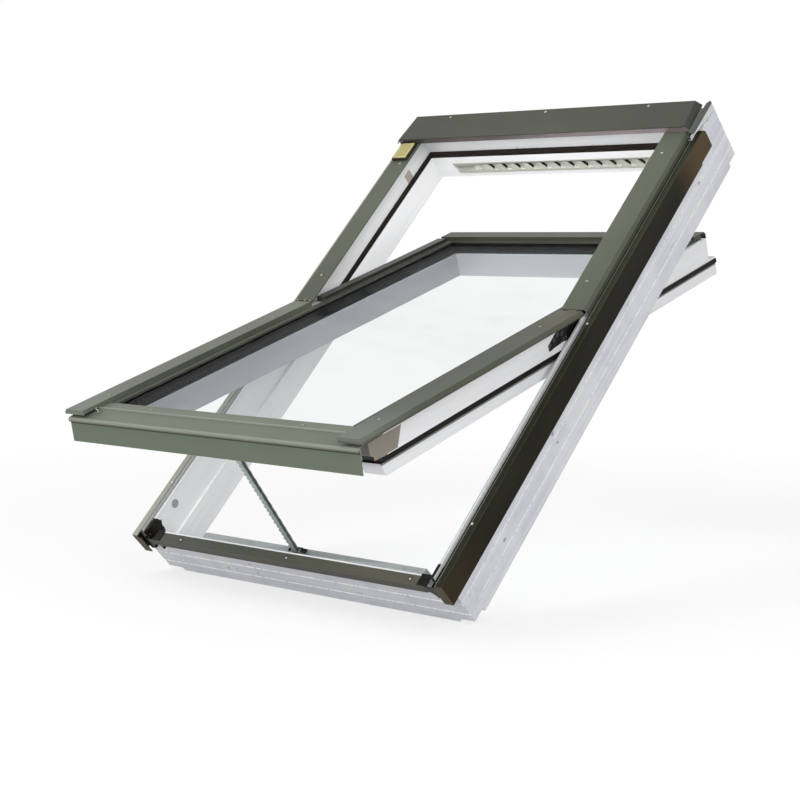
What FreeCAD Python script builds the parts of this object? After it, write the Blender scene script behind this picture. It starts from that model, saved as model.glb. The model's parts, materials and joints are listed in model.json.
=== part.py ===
"""Centre pivot roof window: fixed frame, pivoting sash held open by a push chain.

Millimetres. Every piece is drawn in the window's own axes (x across the width, y up the
slope from the outer face of the sill, z out of the roof from the room-side face) and is
then placed by the roof pitch. Sash pieces are drawn closed and turned about the pivot.
"""
import FreeCAD, Part
import Sketcher
import math
import os

os.makedirs("parts", exist_ok=True)
doc = FreeCAD.newDocument("roof_window")
sheet = doc.addObject("Spreadsheet::Sheet", "Sizes")
rows = [0]


class Size:
    """A number together with the spreadsheet expression that gives it."""

    def __init__(self, value, text):
        self.value = float(value)
        self.text = text

    def join(self, other, sign, value):
        return Size(value, "(" + self.text + sign + other.text + ")")

    def __add__(self, other):
        other = size_of(other)
        return self.join(other, " + ", self.value + other.value)

    def __radd__(self, other):
        return size_of(other) + self

    def __sub__(self, other):
        other = size_of(other)
        return self.join(other, " - ", self.value - other.value)

    def __rsub__(self, other):
        return size_of(other) - self

    def __mul__(self, other):
        other = size_of(other)
        return self.join(other, " * ", self.value * other.value)

    def __rmul__(self, other):
        return size_of(other) * self

    def __truediv__(self, other):
        other = size_of(other)
        return self.join(other, " / ", self.value / other.value)

    def __neg__(self):
        return Size(-self.value, "(0 - " + self.text + ")")


def size_of(number):
    if isinstance(number, Size):
        return number
    return Size(number, repr(float(number)))


def cell(alias, value):
    """Writes one driving dimension to the sheet and returns it."""
    rows[0] += 1
    address = "A" + str(rows[0])
    sheet.set(address, str(value))
    sheet.setAlias(address, alias)
    return Size(value, "Sizes." + alias)


# Whole window
frame_width = cell("frame_width", 780)
frame_length = cell("frame_length", 1180)
roof_pitch = cell("roof_pitch", 45)
opening_angle = cell("opening_angle", 27.5)
pivot_above_middle = cell("pivot_above_middle", 34)
pivot_height = cell("pivot_height", 124)
run_clearance = cell("run_clearance", 5)
seat_gap = cell("seat_gap", 0.3)
sheet_thickness = cell("sheet_thickness", 1.6)

# Timber of the frame
timber_depth = cell("timber_depth", 110)
jamb_width = cell("jamb_width", 38)
jamb_rebate = cell("jamb_rebate", 7.5)
crest_width = cell("crest_width", 5)
crest_height = cell("crest_height", 119)
channel_height = cell("channel_height", 108)
edge_width = cell("edge_width", 12)
edge_depth = cell("edge_depth", 118)
rebate_height = cell("rebate_height", 57)
head_width = cell("head_width", 45)
head_rebate = cell("head_rebate", 12)
sill_width = cell("sill_width", 20)
sill_rebate = cell("sill_rebate", 8)
sill_height = cell("sill_height", 104.8)
sill_pocket = cell("sill_pocket", 11.5)
sill_base_width = cell("sill_base_width", 45)
sill_base_height = cell("sill_base_height", 26)
lip_width = cell("lip_width", 14)
lip_height = cell("lip_height", 9)
lip_setback = cell("lip_setback", 30)
finger_length = cell("finger_length", 40)
finger_height = cell("finger_height", 10.5)
finger_low = cell("finger_low", 14)
finger_high = cell("finger_high", 37.5)
groove_width = cell("groove_width", 1.4)
groove_depth = cell("groove_depth", 1)
jamb_groove_low = cell("jamb_groove_low", 22)
jamb_groove_high = cell("jamb_groove_high", 53)
sill_groove_low = cell("sill_groove_low", 18)
sill_groove_high = cell("sill_groove_high", 47)
gasket_height = cell("gasket_height", 8)

# Metal cladding and black trim of the frame
cladding_flange = cell("cladding_flange", 14)
cladding_side = cell("cladding_side", 50)
cladding_overhang = cell("cladding_overhang", 17)
cladding_tab = cell("cladding_tab", 19.6)
cladding_tab_cut = cell("cladding_tab_cut", 8.6)
cladding_top_gap = cell("cladding_top_gap", 57)
cladding_chamfer = cell("cladding_chamfer", 8)
cladding_notch_length = cell("cladding_notch_length", 52)
cladding_notch = cell("cladding_notch", 3.4)
seal_height = cell("seal_height", 1.5)
seal_gap = cell("seal_gap", 0.5)
sill_skirt_out = cell("sill_skirt_out", 12)
sill_skirt_height = cell("sill_skirt_height", 18)
sill_reveal = cell("sill_reveal", 4)
sill_left_inset = cell("sill_left_inset", 65)
sill_right_inset = cell("sill_right_inset", 48)
sill_end_slant = cell("sill_end_slant", 15)
cap_wall = cell("cap_wall", 1)
cap_reach = cell("cap_reach", 38)
cap_curve = cell("cap_curve", 7)
cap_foot = cell("cap_foot", 4)
cap_bend = cell("cap_bend", 9)
cap_front_height = cell("cap_front_height", 15.4)
cap_ear_height = cell("cap_ear_height", 30.4)
cap_outer_inset = cell("cap_outer_inset", 18)
cap_ear_width = cell("cap_ear_width", 8)
cap_ear_slant = cell("cap_ear_slant", 13)

# Covers beside the glass
cover_inset = cell("cover_inset", 71)
cover_bevel = cell("cover_bevel", 5.5)
upper_cover_width = cell("upper_cover_width", 55.5)
upper_cover_rise = cell("upper_cover_rise", 15)
upper_cover_leg = cell("upper_cover_leg", 15)
upper_cover_inner_leg = cell("upper_cover_inner_leg", 3)
upper_cover_below_pivot = cell("upper_cover_below_pivot", 14)
carrier_gap = cell("carrier_gap", 1)
carrier_wall = cell("carrier_wall", 3)
sash_cover_width = cell("sash_cover_width", 53.6)
sash_cover_height = cell("sash_cover_height", 126)
sash_cover_leg = cell("sash_cover_leg", 9.5)
sash_cover_front = cell("sash_cover_front", 34)
sash_cover_below_pivot = cell("sash_cover_below_pivot", 22.3)

# Head cover and its carrier
hood_rise = cell("hood_rise", 31)
hood_back_inset = cell("hood_back_inset", 8.5)
hood_width = cell("hood_width", 76.5)
hood_front_leg = cell("hood_front_leg", 3)
hood_front_bend = cell("hood_front_bend", 1.2)
hood_back_leg = cell("hood_back_leg", 16)
hood_inset = cell("hood_inset", 19.5)
hood_end_fall = cell("hood_end_fall", 12)
hood_taper = cell("hood_taper", 8)
hood_end_start = cell("hood_end_start", 20)
hood_lap = cell("hood_lap", 12)
carrier_inset = cell("carrier_inset", 31)
carrier_lip_gap = cell("carrier_lip_gap", 0.4)
carrier_tab_width = cell("carrier_tab_width", 2.6)
carrier_tab_slant = cell("carrier_tab_slant", 9)
bracket_drop = cell("bracket_drop", 3.4)
bracket_length = cell("bracket_length", 97)
bracket_level = cell("bracket_level", 29)
bracket_slope = cell("bracket_slope", 4)
bracket_corner = cell("bracket_corner", 14)
bracket_corner_drop = cell("bracket_corner_drop", 6)
bracket_nose = cell("bracket_nose", 9)
bracket_front_depth = cell("bracket_front_depth", 11.6)
bracket_flange = cell("bracket_flange", 7)
hook_out = cell("hook_out", 11)
hook_slant = cell("hook_slant", 2)
hook_top = cell("hook_top", 2.5)
hook_low = cell("hook_low", 12.8)

# Timber of the sash
sash_flange = cell("sash_flange", 9.5)
stile_width = cell("stile_width", 47)
sash_back = cell("sash_back", 33)
sash_step = cell("sash_step", 70.5)
sash_front = cell("sash_front", 114)
sash_top_gap = cell("sash_top_gap", 30)
tongue_length = cell("tongue_length", 23)
top_rail_front = cell("top_rail_front", 28)
stile_bottom = cell("stile_bottom", 31)
stile_toe = cell("stile_toe", 5.5)
toe_height = cell("toe_height", 19)
toe_slant = cell("toe_slant", 8.5)
sash_bottom_low = cell("sash_bottom_low", 62)
sash_bottom_high = cell("sash_bottom_high", 19)
sash_bottom_shelf = cell("sash_bottom_shelf", 78)
rim_bottom = cell("rim_bottom", 80)
bottom_upstand = cell("bottom_upstand", 13)
glass_unit = cell("glass_unit", 28)
pane_thickness = cell("pane_thickness", 4)
glass_bite = cell("glass_bite", 12)
glass_gap = cell("glass_gap", 1)
spacer_width = cell("spacer_width", 12)
sash_gasket_width = cell("sash_gasket_width", 2)
sash_gasket_low = cell("sash_gasket_low", 57)
sash_gasket_height = cell("sash_gasket_height", 9)
plate_thickness = cell("plate_thickness", 1)
plate_front = cell("plate_front", 4)
plate_end = cell("plate_end", 82)
plate_slant = cell("plate_slant", 19)
plate_top = cell("plate_top", 106)
plate_nose = cell("plate_nose", 20)
plate_low = cell("plate_low", 72)
plate_toe = cell("plate_toe", 6)

# Metal covers and glazing profiles of the sash
bottom_cover_inner = cell("bottom_cover_inner", 30)
bottom_cover_height = cell("bottom_cover_height", 118)
bottom_cover_flat = cell("bottom_cover_flat", 26)
bottom_cover_step = cell("bottom_cover_step", 2.2)
bottom_cover_fall = cell("bottom_cover_fall", 4.8)
bottom_cover_inset = cell("bottom_cover_inset", 27)
bottom_cover_ahead = cell("bottom_cover_ahead", 6)
bead_front = cell("bead_front", 38)
bead_height = cell("bead_height", 6.4)
bead_proud = cell("bead_proud", 3.5)
bead_neck = cell("bead_neck", 4)
drip_height = cell("drip_height", 64)
profile_start = cell("profile_start", 31)
profile_edge = cell("profile_edge", 2)
profile_low_width = cell("profile_low_width", 15)
profile_low_height = cell("profile_low_height", 4.5)
profile_width = cell("profile_width", 23)
profile_height = cell("profile_height", 11.5)
profile_above_pivot = cell("profile_above_pivot", 12)
profile_wall = cell("profile_wall", 2)
top_profile_lap = cell("top_profile_lap", 9)
top_profile_step = cell("top_profile_step", 12)
top_profile_out = cell("top_profile_out", 19)
top_profile_bevel = cell("top_profile_bevel", 6)
top_profile_leg = cell("top_profile_leg", 4)

# Small fittings
vent_inset = cell("vent_inset", 90)
vent_low = cell("vent_low", 11.6)
vent_height = cell("vent_height", 27.3)
vent_thickness = cell("vent_thickness", 2)
vent_slant = cell("vent_slant", 8)
vent_hole = cell("vent_hole", 2.5)
vent_hole_start = cell("vent_hole_start", 12)
vent_slot_start = cell("vent_slot_start", 56)
vent_slot_length = cell("vent_slot_length", 21)
vent_cut_start = cell("vent_cut_start", 94)
vent_cut_width = cell("vent_cut_width", 18)
vent_cut_low = cell("vent_cut_low", 18)
vent_cut_height = cell("vent_cut_height", 13)
vent_cut_rest = cell("vent_cut_rest", 38)
vent_cuts = 14
sensor_inset = cell("sensor_inset", 23)
sensor_width = cell("sensor_width", 43)
sensor_length = cell("sensor_length", 52)
sensor_height = cell("sensor_height", 8)
sensor_gap = cell("sensor_gap", 1)
latch_from_head = cell("latch_from_head", 115)
latch_length = cell("latch_length", 23)
latch_height = cell("latch_height", 21.5)
latch_thickness = cell("latch_thickness", 1.5)

# Chain drive
chain_offset = cell("chain_offset", 25)
chain_lean = cell("chain_lean", 13)
chain_outlet_y = cell("chain_outlet_y", 43)
chain_outlet_z = cell("chain_outlet_z", 63)
chain_rise = cell("chain_rise", 9)
chain_wide = cell("chain_wide", 12)
chain_deep = cell("chain_deep", 9)
chain_link_pitch = cell("chain_link_pitch", 19.5)
chain_plate = cell("chain_plate", 1.6)
chain_core = cell("chain_core", 6)
chain_notch = cell("chain_notch", 3)
chain_pin = cell("chain_pin", 2)
chain_foot = cell("chain_foot", 4)
slot_gap = cell("slot_gap", 1)
housing_left_inset = cell("housing_left_inset", 155)
housing_right_inset = cell("housing_right_inset", 100)
housing_width = cell("housing_width", 30)
housing_height = cell("housing_height", 38)
housing_corner = cell("housing_corner", 10)
ear_thickness = cell("ear_thickness", 2.5)
ear_half = cell("ear_half", 8)
ear_gap = cell("ear_gap", 1)
ear_foot = cell("ear_foot", 2.5)

# Hinges
hinge_plate = cell("hinge_plate", 3)
hinge_casting = cell("hinge_casting", 6.5)
hinge_below = cell("hinge_below", 62)
hinge_plate_below = cell("hinge_plate_below", 55)
hinge_above = cell("hinge_above", 8)
hinge_gap = cell("hinge_gap", 3)
hinge_shoulder = cell("hinge_shoulder", 4)
pin_radius = cell("pin_radius", 3.5)
pin_gap = cell("pin_gap", 0.3)
eye_wall = cell("eye_wall", 1.5)

half_width = frame_width / 2
jamb_inner = half_width - jamb_width
ledge = jamb_inner + jamb_rebate
crest_outer = ledge + crest_width
edge_inner = half_width - edge_width
pivot_y = frame_length / 2 + pivot_above_middle
head_inner = frame_length - head_width
head_ledge = head_inner + head_rebate
sill_inner = sill_width - sill_rebate
sill_upstand_half = ledge - sill_pocket
gasket_top = rebate_height + gasket_height
sill_top = sill_height + sheet_thickness
cladding_outer = half_width + sheet_thickness
cladding_top = edge_depth + sheet_thickness
cladding_low = cladding_top - cladding_side
cladding_end = frame_length - cladding_top_gap
cover_inner = half_width - cover_inset
upper_cover_height = crest_height + upper_cover_rise
upper_under = upper_cover_height - sheet_thickness
upper_cover_start = pivot_y - upper_cover_below_pivot
hood_back = frame_length - hood_back_inset
hood_front = hood_back - hood_width
hood_half = half_width - hood_inset
hood_height = crest_height + hood_rise
hood_under = hood_height - sheet_thickness
cover_end = hood_front + hood_lap
sash_flange_half = ledge - run_clearance
sash_half = sash_flange_half - sash_flange
rim_half = sash_half - stile_width
rebate_in = rim_half + glass_bite
glass_back = sash_front - glass_unit
sash_tongue_top = head_ledge - sash_top_gap
sash_top = sash_tongue_top - tongue_length
rim_top = sash_top - top_rail_front
sash_cover_end = pivot_y - sash_cover_below_pivot
pieces = []
ROLES = {"x": "YZ_Plane", "y": "XZ_Plane", "z": "XY_Plane"}
SIDES = ((-1, "left"), (1, "right"))


def make_placement(turn, slope, low, high, mid):
    """Sets where a piece stands: slope first, and for the sash a turn about the pivot."""
    pitch = math.radians(slope)
    place = FreeCAD.Placement(
        FreeCAD.Vector(0, high * math.sin(pitch), -high * math.cos(pitch)),
        FreeCAD.Rotation(FreeCAD.Vector(1, 0, 0), slope),
    )
    hinge = FreeCAD.Placement(
        FreeCAD.Vector(0, 0, 0),
        FreeCAD.Rotation(FreeCAD.Vector(1, 0, 0), -turn),
        FreeCAD.Vector(0, low, mid),
    )
    return place.multiply(hinge)


frame_place = make_placement(0, roof_pitch.value, 0, timber_depth.value / 2, 0)
sash_place = make_placement(
    opening_angle.value,
    roof_pitch.value,
    pivot_y.value,
    timber_depth.value / 2,
    pivot_height.value,
)


def origin_part(body, role):
    return [f for f in body.Origin.OriginFeatures if f.Role == role][0]


def place_sketch(body, axis, start):
    """An empty sketch on the plane across the axis, moved along it to the start."""
    sketch = body.newObject("Sketcher::SketchObject", "Outline")
    sketch.AttachmentSupport = [(origin_part(body, ROLES[axis]), "")]
    sketch.MapMode = "FlatFace"
    offset = -size_of(start) if axis == "y" else size_of(start)
    sketch.AttachmentOffset = FreeCAD.Placement(
        FreeCAD.Vector(0, 0, offset.value), FreeCAD.Rotation()
    )
    sketch.setExpression("AttachmentOffset.Base.z", offset.text)
    return sketch


def bind(sketch, constraint, size):
    """Adds a constraint and lets the sheet drive its value."""
    number = sketch.addConstraint(constraint)
    sketch.setExpression("Constraints[" + str(number) + "]", size.text)


def outline(body, axis, points, start):
    """A closed outline across the axis, each corner held by two sizes."""
    sketch = place_sketch(body, axis, start)
    corners = [(size_of(a), size_of(b)) for a, b in points]
    spots = [FreeCAD.Vector(a.value, b.value, 0) for a, b in corners]
    count = len(spots)
    sketch.addGeometry(
        [Part.LineSegment(spots[i], spots[(i + 1) % count]) for i in range(count)], False
    )
    for i, (a, b) in enumerate(corners):
        sketch.addConstraint(Sketcher.Constraint("Coincident", i, 2, (i + 1) % count, 1))
        bind(sketch, Sketcher.Constraint("DistanceX", i, 1, a.value), a)
        bind(sketch, Sketcher.Constraint("DistanceY", i, 1, b.value), b)
    return sketch


def run_sketch(body, axis, sketch, start, end, cut):
    """Pads the sketch along the axis, or cuts it from the body."""
    kind = "PartDesign::Pocket" if cut else "PartDesign::Pad"
    feature = body.newObject(kind, "Cut" if cut else "Run")
    feature.Profile = sketch
    length = size_of(end) - size_of(start)
    feature.Length = length.value
    feature.setExpression("Length", length.text)
    feature.Reversed = (axis == "y") != cut
    return feature


def extrude(body, axis, points, start, end, cut=False):
    """Adds a prism along the axis to the body, or cuts it from the body."""
    return run_sketch(body, axis, outline(body, axis, points, start), start, end, cut)


def disc(body, axis, centre, radius, start, end, cut=False):
    """Adds a round pin along the axis to the body, or bores it."""
    sketch = place_sketch(body, axis, start)
    a, b = size_of(centre[0]), size_of(centre[1])
    spot = FreeCAD.Vector(a.value, b.value, 0)
    around = size_of(radius)
    sketch.addGeometry(Part.Circle(spot, FreeCAD.Vector(0, 0, 1), around.value), False)
    bind(sketch, Sketcher.Constraint("DistanceX", 0, 3, a.value), a)
    bind(sketch, Sketcher.Constraint("DistanceY", 0, 3, b.value), b)
    bind(sketch, Sketcher.Constraint("Radius", 0, around.value), around)
    return run_sketch(body, axis, sketch, start, end, cut)


def loft(body, axis, first, start, last, end):
    """Adds a tapering run between two outlines with the same corners."""
    feature = body.newObject("PartDesign::AdditiveLoft", "Taper")
    feature.Profile = outline(body, axis, first, start)
    feature.Sections = [outline(body, axis, last, end)]
    feature.Ruled = True
    return feature


def round_edges(body, axis, spots, radius):
    """Rounds the straight edges that run along the axis through the given spots."""
    doc.recompute()
    keep = {"x": (1, 2), "y": (0, 2), "z": (0, 1)}[axis]
    names = []
    for number, edge in enumerate(body.Tip.Shape.Edges):
        ends = [v.Point for v in edge.Vertexes]
        if len(ends) != 2:
            continue
        for a, b in spots:
            wanted = (size_of(a).value, size_of(b).value)
            if all(abs(p[k] - w) < 0.01 for p in ends for k, w in zip(keep, wanted)):
                names.append("Edge" + str(number + 1))
    if not names:
        raise RuntimeError(body.Label + " has no edge to round")
    base = body.Tip
    feature = body.newObject("PartDesign::Fillet", "Bend")
    feature.Base = (base, names)
    feature.Radius = size_of(radius).value
    feature.setExpression("Radius", size_of(radius).text)
    return feature


def repeat(body, features, axis, pitch, count):
    """Repeats features of the body along one of its axes."""
    pattern = body.newObject("PartDesign::LinearPattern", "Row")
    pattern.Originals = features
    pattern.Direction = (origin_part(body, axis.upper() + "_Axis"), [""])
    pattern.Mode = "Spacing"
    pattern.Offset = size_of(pitch).value
    pattern.setExpression("Offset", size_of(pitch).text)
    pattern.Occurrences = count
    body.Tip = pattern
    return pattern


def piece(label, place):
    body = doc.addObject("PartDesign::Body", "Piece")
    body.Label = label
    body.Placement = place
    pieces.append(body)
    return body


def bar(label, place, axis, points, start, end):
    body = piece(label, place)
    extrude(body, axis, points, start, end)
    return body


def rectangle(a0, b0, a1, b1):
    return [(a0, b0), (a1, b0), (a1, b1), (a0, b1)]


def handed(points, side):
    """The outline for the right side, turned over for the left one."""
    if side > 0:
        return points
    return [(-size_of(a), b) for a, b in points]


def run_x(side, start, end):
    """Start and end along the width for a piece drawn for the right side."""
    if side > 0:
        return start, end
    return -size_of(end), -size_of(start)


# Outline of the black lining that covers the jamb's inner face at the sill
cap_low = sill_top - cap_ear_height
lining_end = [
    (cap_reach, sill_top),
    (cap_reach - cap_wall, sill_top - cap_wall),
    (cap_reach - cap_curve, sill_top - cap_bend),
    (cap_reach - cap_curve, sill_top - cap_bend * 2),
    (cap_reach - cap_curve - cap_foot, sill_top - cap_bend * 3),
    (cap_reach - cap_curve - cap_foot, rebate_height),
]
lining_recess = lining_end + [(0, rebate_height), (0, sill_top)]

# Timber frame
jamb_profile = [
    (jamb_inner, 0),
    (half_width, 0),
    (half_width, edge_depth),
    (edge_inner, edge_depth),
    (edge_inner, channel_height),
    (crest_outer, channel_height),
    (crest_outer, crest_height),
    (ledge, crest_height),
    (ledge, rebate_height),
    (jamb_inner, rebate_height),
]
latch_end = frame_length - latch_from_head
latch_start = latch_end - latch_length
latch_low = gasket_top + seat_gap
latch_high = latch_low + latch_height
for side, hand in SIDES:
    jamb = bar(hand + "_jamb", frame_place, "y", handed(jamb_profile, side), 0, frame_length)
    lip = rectangle(half_width - lip_width, -lip_height, half_width, 0)
    extrude(jamb, "y", handed(lip, side), lip_setback, frame_length - lip_setback)
    for low in (jamb_groove_low, jamb_groove_high):
        groove = rectangle(half_width - groove_depth, low, half_width, low + groove_width)
        extrude(jamb, "y", handed(groove, side), 0, frame_length, cut=True)
    start, end = run_x(side, jamb_inner, half_width)
    for low in (finger_low, finger_high):
        finger = rectangle(0, low, finger_length, low + finger_height)
        extrude(jamb, "x", finger, start, end, cut=True)
    start, end = run_x(side, ledge, ledge + cap_wall)
    extrude(jamb, "x", lining_recess, start, end, cut=True)
    if side < 0:
        start, end = run_x(side, ledge, ledge + latch_thickness)
        strike = rectangle(latch_start, latch_low, latch_end, latch_high)
        extrude(jamb, "x", strike, start, end, cut=True)

sill = bar(
    "sill_rail",
    frame_place,
    "x",
    rectangle(0, 0, sill_width, rebate_height),
    -jamb_inner,
    jamb_inner,
)
base = rectangle(sill_width, 0, sill_base_width, sill_base_height)
extrude(sill, "x", base, -jamb_inner, jamb_inner)
upstand = rectangle(0, rebate_height, sill_inner, sill_height)
extrude(sill, "x", upstand, -sill_upstand_half, sill_upstand_half)
extrude(sill, "x", rectangle(0, -lip_height, lip_width, 0), -jamb_inner, jamb_inner)
for side, hand in SIDES:
    start, end = run_x(side, jamb_inner, half_width)
    for low in (finger_low, finger_high):
        finger = rectangle(0, low, finger_length, low + finger_height)
        extrude(sill, "x", finger, start, end)
    groove = rectangle(
        half_width - groove_depth, jamb_groove_low, half_width, jamb_groove_low + groove_width
    )
    extrude(sill, "y", handed(groove, side), 0, finger_length, cut=True)
for low in (sill_groove_low, sill_groove_high):
    groove = rectangle(0, low, groove_depth, low + groove_width)
    extrude(sill, "x", groove, -half_width, half_width, cut=True)

head = bar(
    "head_rail",
    frame_place,
    "x",
    rectangle(head_inner, 0, frame_length, rebate_height),
    -jamb_inner,
    jamb_inner,
)
extrude(head, "x", rectangle(head_ledge, rebate_height, frame_length, crest_height), -ledge, ledge)

# Weather gasket on the ledge all round and seals in the channels of the jambs
gasket = bar(
    "frame_gasket",
    frame_place,
    "z",
    rectangle(-ledge, sill_inner, ledge, head_ledge),
    rebate_height,
    gasket_top,
)
extrude(
    gasket,
    "z",
    rectangle(-jamb_inner, sill_width, jamb_inner, head_inner),
    rebate_height,
    gasket_top,
    cut=True,
)
for side, hand in SIDES:
    strip = rectangle(
        crest_outer + seal_gap,
        channel_height,
        edge_inner - seal_gap,
        channel_height + seal_height,
    )
    bar(hand + "_edge_seal", frame_place, "y", handed(strip, side), 0, cladding_end)

# Side cladding: angle with a closed lower end, a cut corner and a raised edge at the top
for side, hand in SIDES:
    profile = [
        (half_width, edge_depth),
        (half_width, cladding_low),
        (cladding_outer, cladding_low),
        (cladding_outer, cladding_top),
        (cladding_outer - cladding_flange, cladding_top),
        (cladding_outer - cladding_flange, edge_depth),
    ]
    cladding = bar(
        hand + "_jamb_cladding",
        frame_place,
        "y",
        handed(profile, side),
        -cladding_overhang,
        cladding_end,
    )
    tab = [
        (cladding_outer - cladding_tab, cladding_low),
        (cladding_outer, cladding_low),
        (cladding_outer, cladding_top),
        (cladding_outer - cladding_flange, cladding_top),
        (cladding_outer - cladding_flange, cladding_top - cladding_tab_cut),
        (cladding_outer - cladding_tab, cladding_top - cladding_tab_cut),
    ]
    extrude(
        cladding,
        "y",
        handed(tab, side),
        -cladding_overhang,
        -cladding_overhang + sheet_thickness,
    )
    start, end = run_x(side, cladding_outer - cladding_flange, cladding_outer)
    corner = [
        (cladding_end - cladding_chamfer, cladding_top),
        (cladding_end, cladding_top),
        (cladding_end, cladding_top - cladding_chamfer),
    ]
    extrude(cladding, "x", corner, start, end, cut=True)
    raised = rectangle(
        cladding_end - cladding_notch_length,
        cladding_low,
        cladding_end,
        cladding_low + cladding_notch,
    )
    extrude(cladding, "x", raised, start, end, cut=True)

# Sill cladding, its left end cut on the slant
skirt_low = sill_top - sill_skirt_height
skirt_inner = sheet_thickness - sill_skirt_out
sill_cover_inner = sill_inner - sill_reveal
sill_left = half_width - sill_left_inset
sill_right = half_width - sill_right_inset
sill_left_low = sill_left + sill_end_slant
sill_cladding = bar(
    "sill_cladding",
    frame_place,
    "x",
    [
        (sill_cover_inner, sill_height),
        (skirt_inner, sill_height),
        (skirt_inner, skirt_low),
        (-sill_skirt_out, skirt_low),
        (-sill_skirt_out, sill_top),
        (sill_cover_inner, sill_top),
    ],
    -sill_left_low,
    sill_right,
)
extrude(
    sill_cladding,
    "y",
    [(-sill_left_low, sill_top), (-sill_left, sill_top), (-sill_left_low, skirt_low)],
    -sill_skirt_out,
    sill_cover_inner,
    cut=True,
)

# Black corner caps: bridge over the sill, wall in front and lining of the jamb
cap_outer = half_width - cap_outer_inset
cap_front = sill_top - cap_front_height
slant = sill_end_slant * cap_front_height / sill_skirt_height
for side, hand in SIDES:
    edge_top = sill_left if side < 0 else sill_right
    edge_low = sill_left + slant if side < 0 else sill_right
    wall = [
        (edge_top + seat_gap, sill_top),
        (cap_outer, sill_top),
        (cap_outer, cap_low),
        (cap_outer - cap_ear_width, cap_low),
        (cap_outer - cap_ear_width - cap_ear_slant, cap_front),
        (edge_low + seat_gap, cap_front),
    ]
    cap = bar(
        hand + "_corner_cap",
        frame_place,
        "y",
        handed(wall, side),
        -sill_skirt_out,
        cap_wall - sill_skirt_out,
    )
    start, end = run_x(side, edge_top + profile_edge, sill_upstand_half + seat_gap)
    bridge = rectangle(-sill_skirt_out, sill_height, sill_cover_inner, sill_top)
    extrude(cap, "x", bridge, start, end)
    start, end = run_x(side, ledge, ledge + cap_wall)
    lining = lining_end + [(0, rebate_height), (0, cap_low), (-sill_skirt_out, cap_low)]
    extrude(cap, "x", lining + [(-sill_skirt_out, sill_top)], start, end)


def cover_profile(outer, height, outer_leg, inner_leg):
    """Channel open to the room: flat top, bevelled outer edge, two legs."""
    under = height - sheet_thickness
    return [
        (cover_inner, height - inner_leg),
        (cover_inner + sheet_thickness, height - inner_leg),
        (cover_inner + sheet_thickness, under),
        (outer - cover_bevel - sheet_thickness / 2, under),
        (outer - sheet_thickness, under - cover_bevel + sheet_thickness / 2),
        (outer - sheet_thickness, height - outer_leg),
        (outer, height - outer_leg),
        (outer, height - cover_bevel),
        (outer - cover_bevel, height),
        (cover_inner, height),
    ]


# Fixed covers over the upper half of the sash and their carriers
upper_profile = cover_profile(
    cover_inner + upper_cover_width, upper_cover_height, upper_cover_leg, upper_cover_inner_leg
)
carrier_profile = rectangle(
    ledge + carrier_gap, crest_height, ledge + carrier_gap + carrier_wall, upper_under
)
for side, hand in SIDES:
    bar(
        hand + "_upper_cover",
        frame_place,
        "y",
        handed(upper_profile, side),
        upper_cover_start,
        cover_end,
    )
    bar(
        hand + "_cover_carrier",
        frame_place,
        "y",
        handed(carrier_profile, side),
        upper_cover_start,
        cover_end,
    )

# Head cover with bevelled ends that taper towards its back
head_cover = bar(
    "head_cover",
    frame_place,
    "x",
    [
        (hood_front, hood_height - hood_front_leg),
        (hood_front + sheet_thickness, hood_height - hood_front_leg),
        (hood_front + sheet_thickness, hood_under),
        (hood_back - sheet_thickness, hood_under),
        (hood_back - sheet_thickness, hood_height - hood_back_leg),
        (hood_back, hood_height - hood_back_leg),
        (hood_back, hood_height),
        (hood_front + hood_front_bend, hood_height),
        (hood_front, hood_height - hood_front_bend),
    ],
    -(hood_half - hood_taper),
    hood_half - hood_taper,
)


def hood_end(side, shift):
    """Section of the head cover's bevelled end, shifted inwards by the taper."""
    return handed(
        [
            (hood_half - hood_end_start, hood_height),
            (hood_half - shift, hood_height),
            (hood_half + hood_end_fall - shift, hood_height - hood_end_fall),
            (
                hood_half + hood_end_fall - shift - sheet_thickness,
                hood_height - hood_end_fall - sheet_thickness / 2,
            ),
            (hood_half - shift - sheet_thickness / 2, hood_under),
            (hood_half - hood_end_start, hood_under),
        ],
        side,
    )


for side, hand in SIDES:
    loft(
        head_cover,
        "y",
        hood_end(side, size_of(0)),
        hood_front + hood_front_bend,
        hood_end(side, hood_taper),
        hood_back,
    )

# Galvanised carrier: foot, riser and shelf with a front lip, and a bracket at each end
carrier_half = half_width - carrier_inset
carrier_front = hood_front + sheet_thickness + seat_gap
shelf_low = hood_under - sheet_thickness
riser_back = hood_back - sheet_thickness * 2
riser_foot = hood_height - hood_back_leg - seat_gap
foot_top = crest_height + sheet_thickness
lip_low = upper_cover_height + carrier_lip_gap
carrier = bar(
    "head_cover_carrier",
    frame_place,
    "x",
    [
        (head_ledge, crest_height),
        (frame_length, crest_height),
        (frame_length, riser_foot),
        (riser_back, riser_foot),
        (riser_back, hood_under),
        (carrier_front, hood_under),
        (carrier_front, lip_low),
        (carrier_front + sheet_thickness, lip_low),
        (carrier_front + sheet_thickness, shelf_low),
        (riser_back - sheet_thickness, shelf_low),
        (riser_back - sheet_thickness, riser_foot - sheet_thickness),
        (frame_length - sheet_thickness, riser_foot - sheet_thickness),
        (frame_length - sheet_thickness, foot_top),
        (head_ledge, foot_top),
    ],
    -carrier_half,
    carrier_half,
)
bracket_front = frame_length - bracket_length
bracket_top = hood_height - bracket_drop
front_top = bracket_top - bracket_slope
bracket_side = [
    (bracket_front, front_top),
    (frame_length - bracket_level, bracket_top),
    (frame_length - bracket_corner, bracket_top),
    (frame_length, bracket_top - bracket_corner_drop),
    (frame_length, crest_height),
    (bracket_front + bracket_nose, front_top - bracket_front_depth),
]
bracket_rim = [
    (bracket_front, front_top),
    (frame_length - bracket_level, bracket_top),
    (frame_length - bracket_level, bracket_top - sheet_thickness),
    (bracket_front, front_top - sheet_thickness),
]
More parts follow.
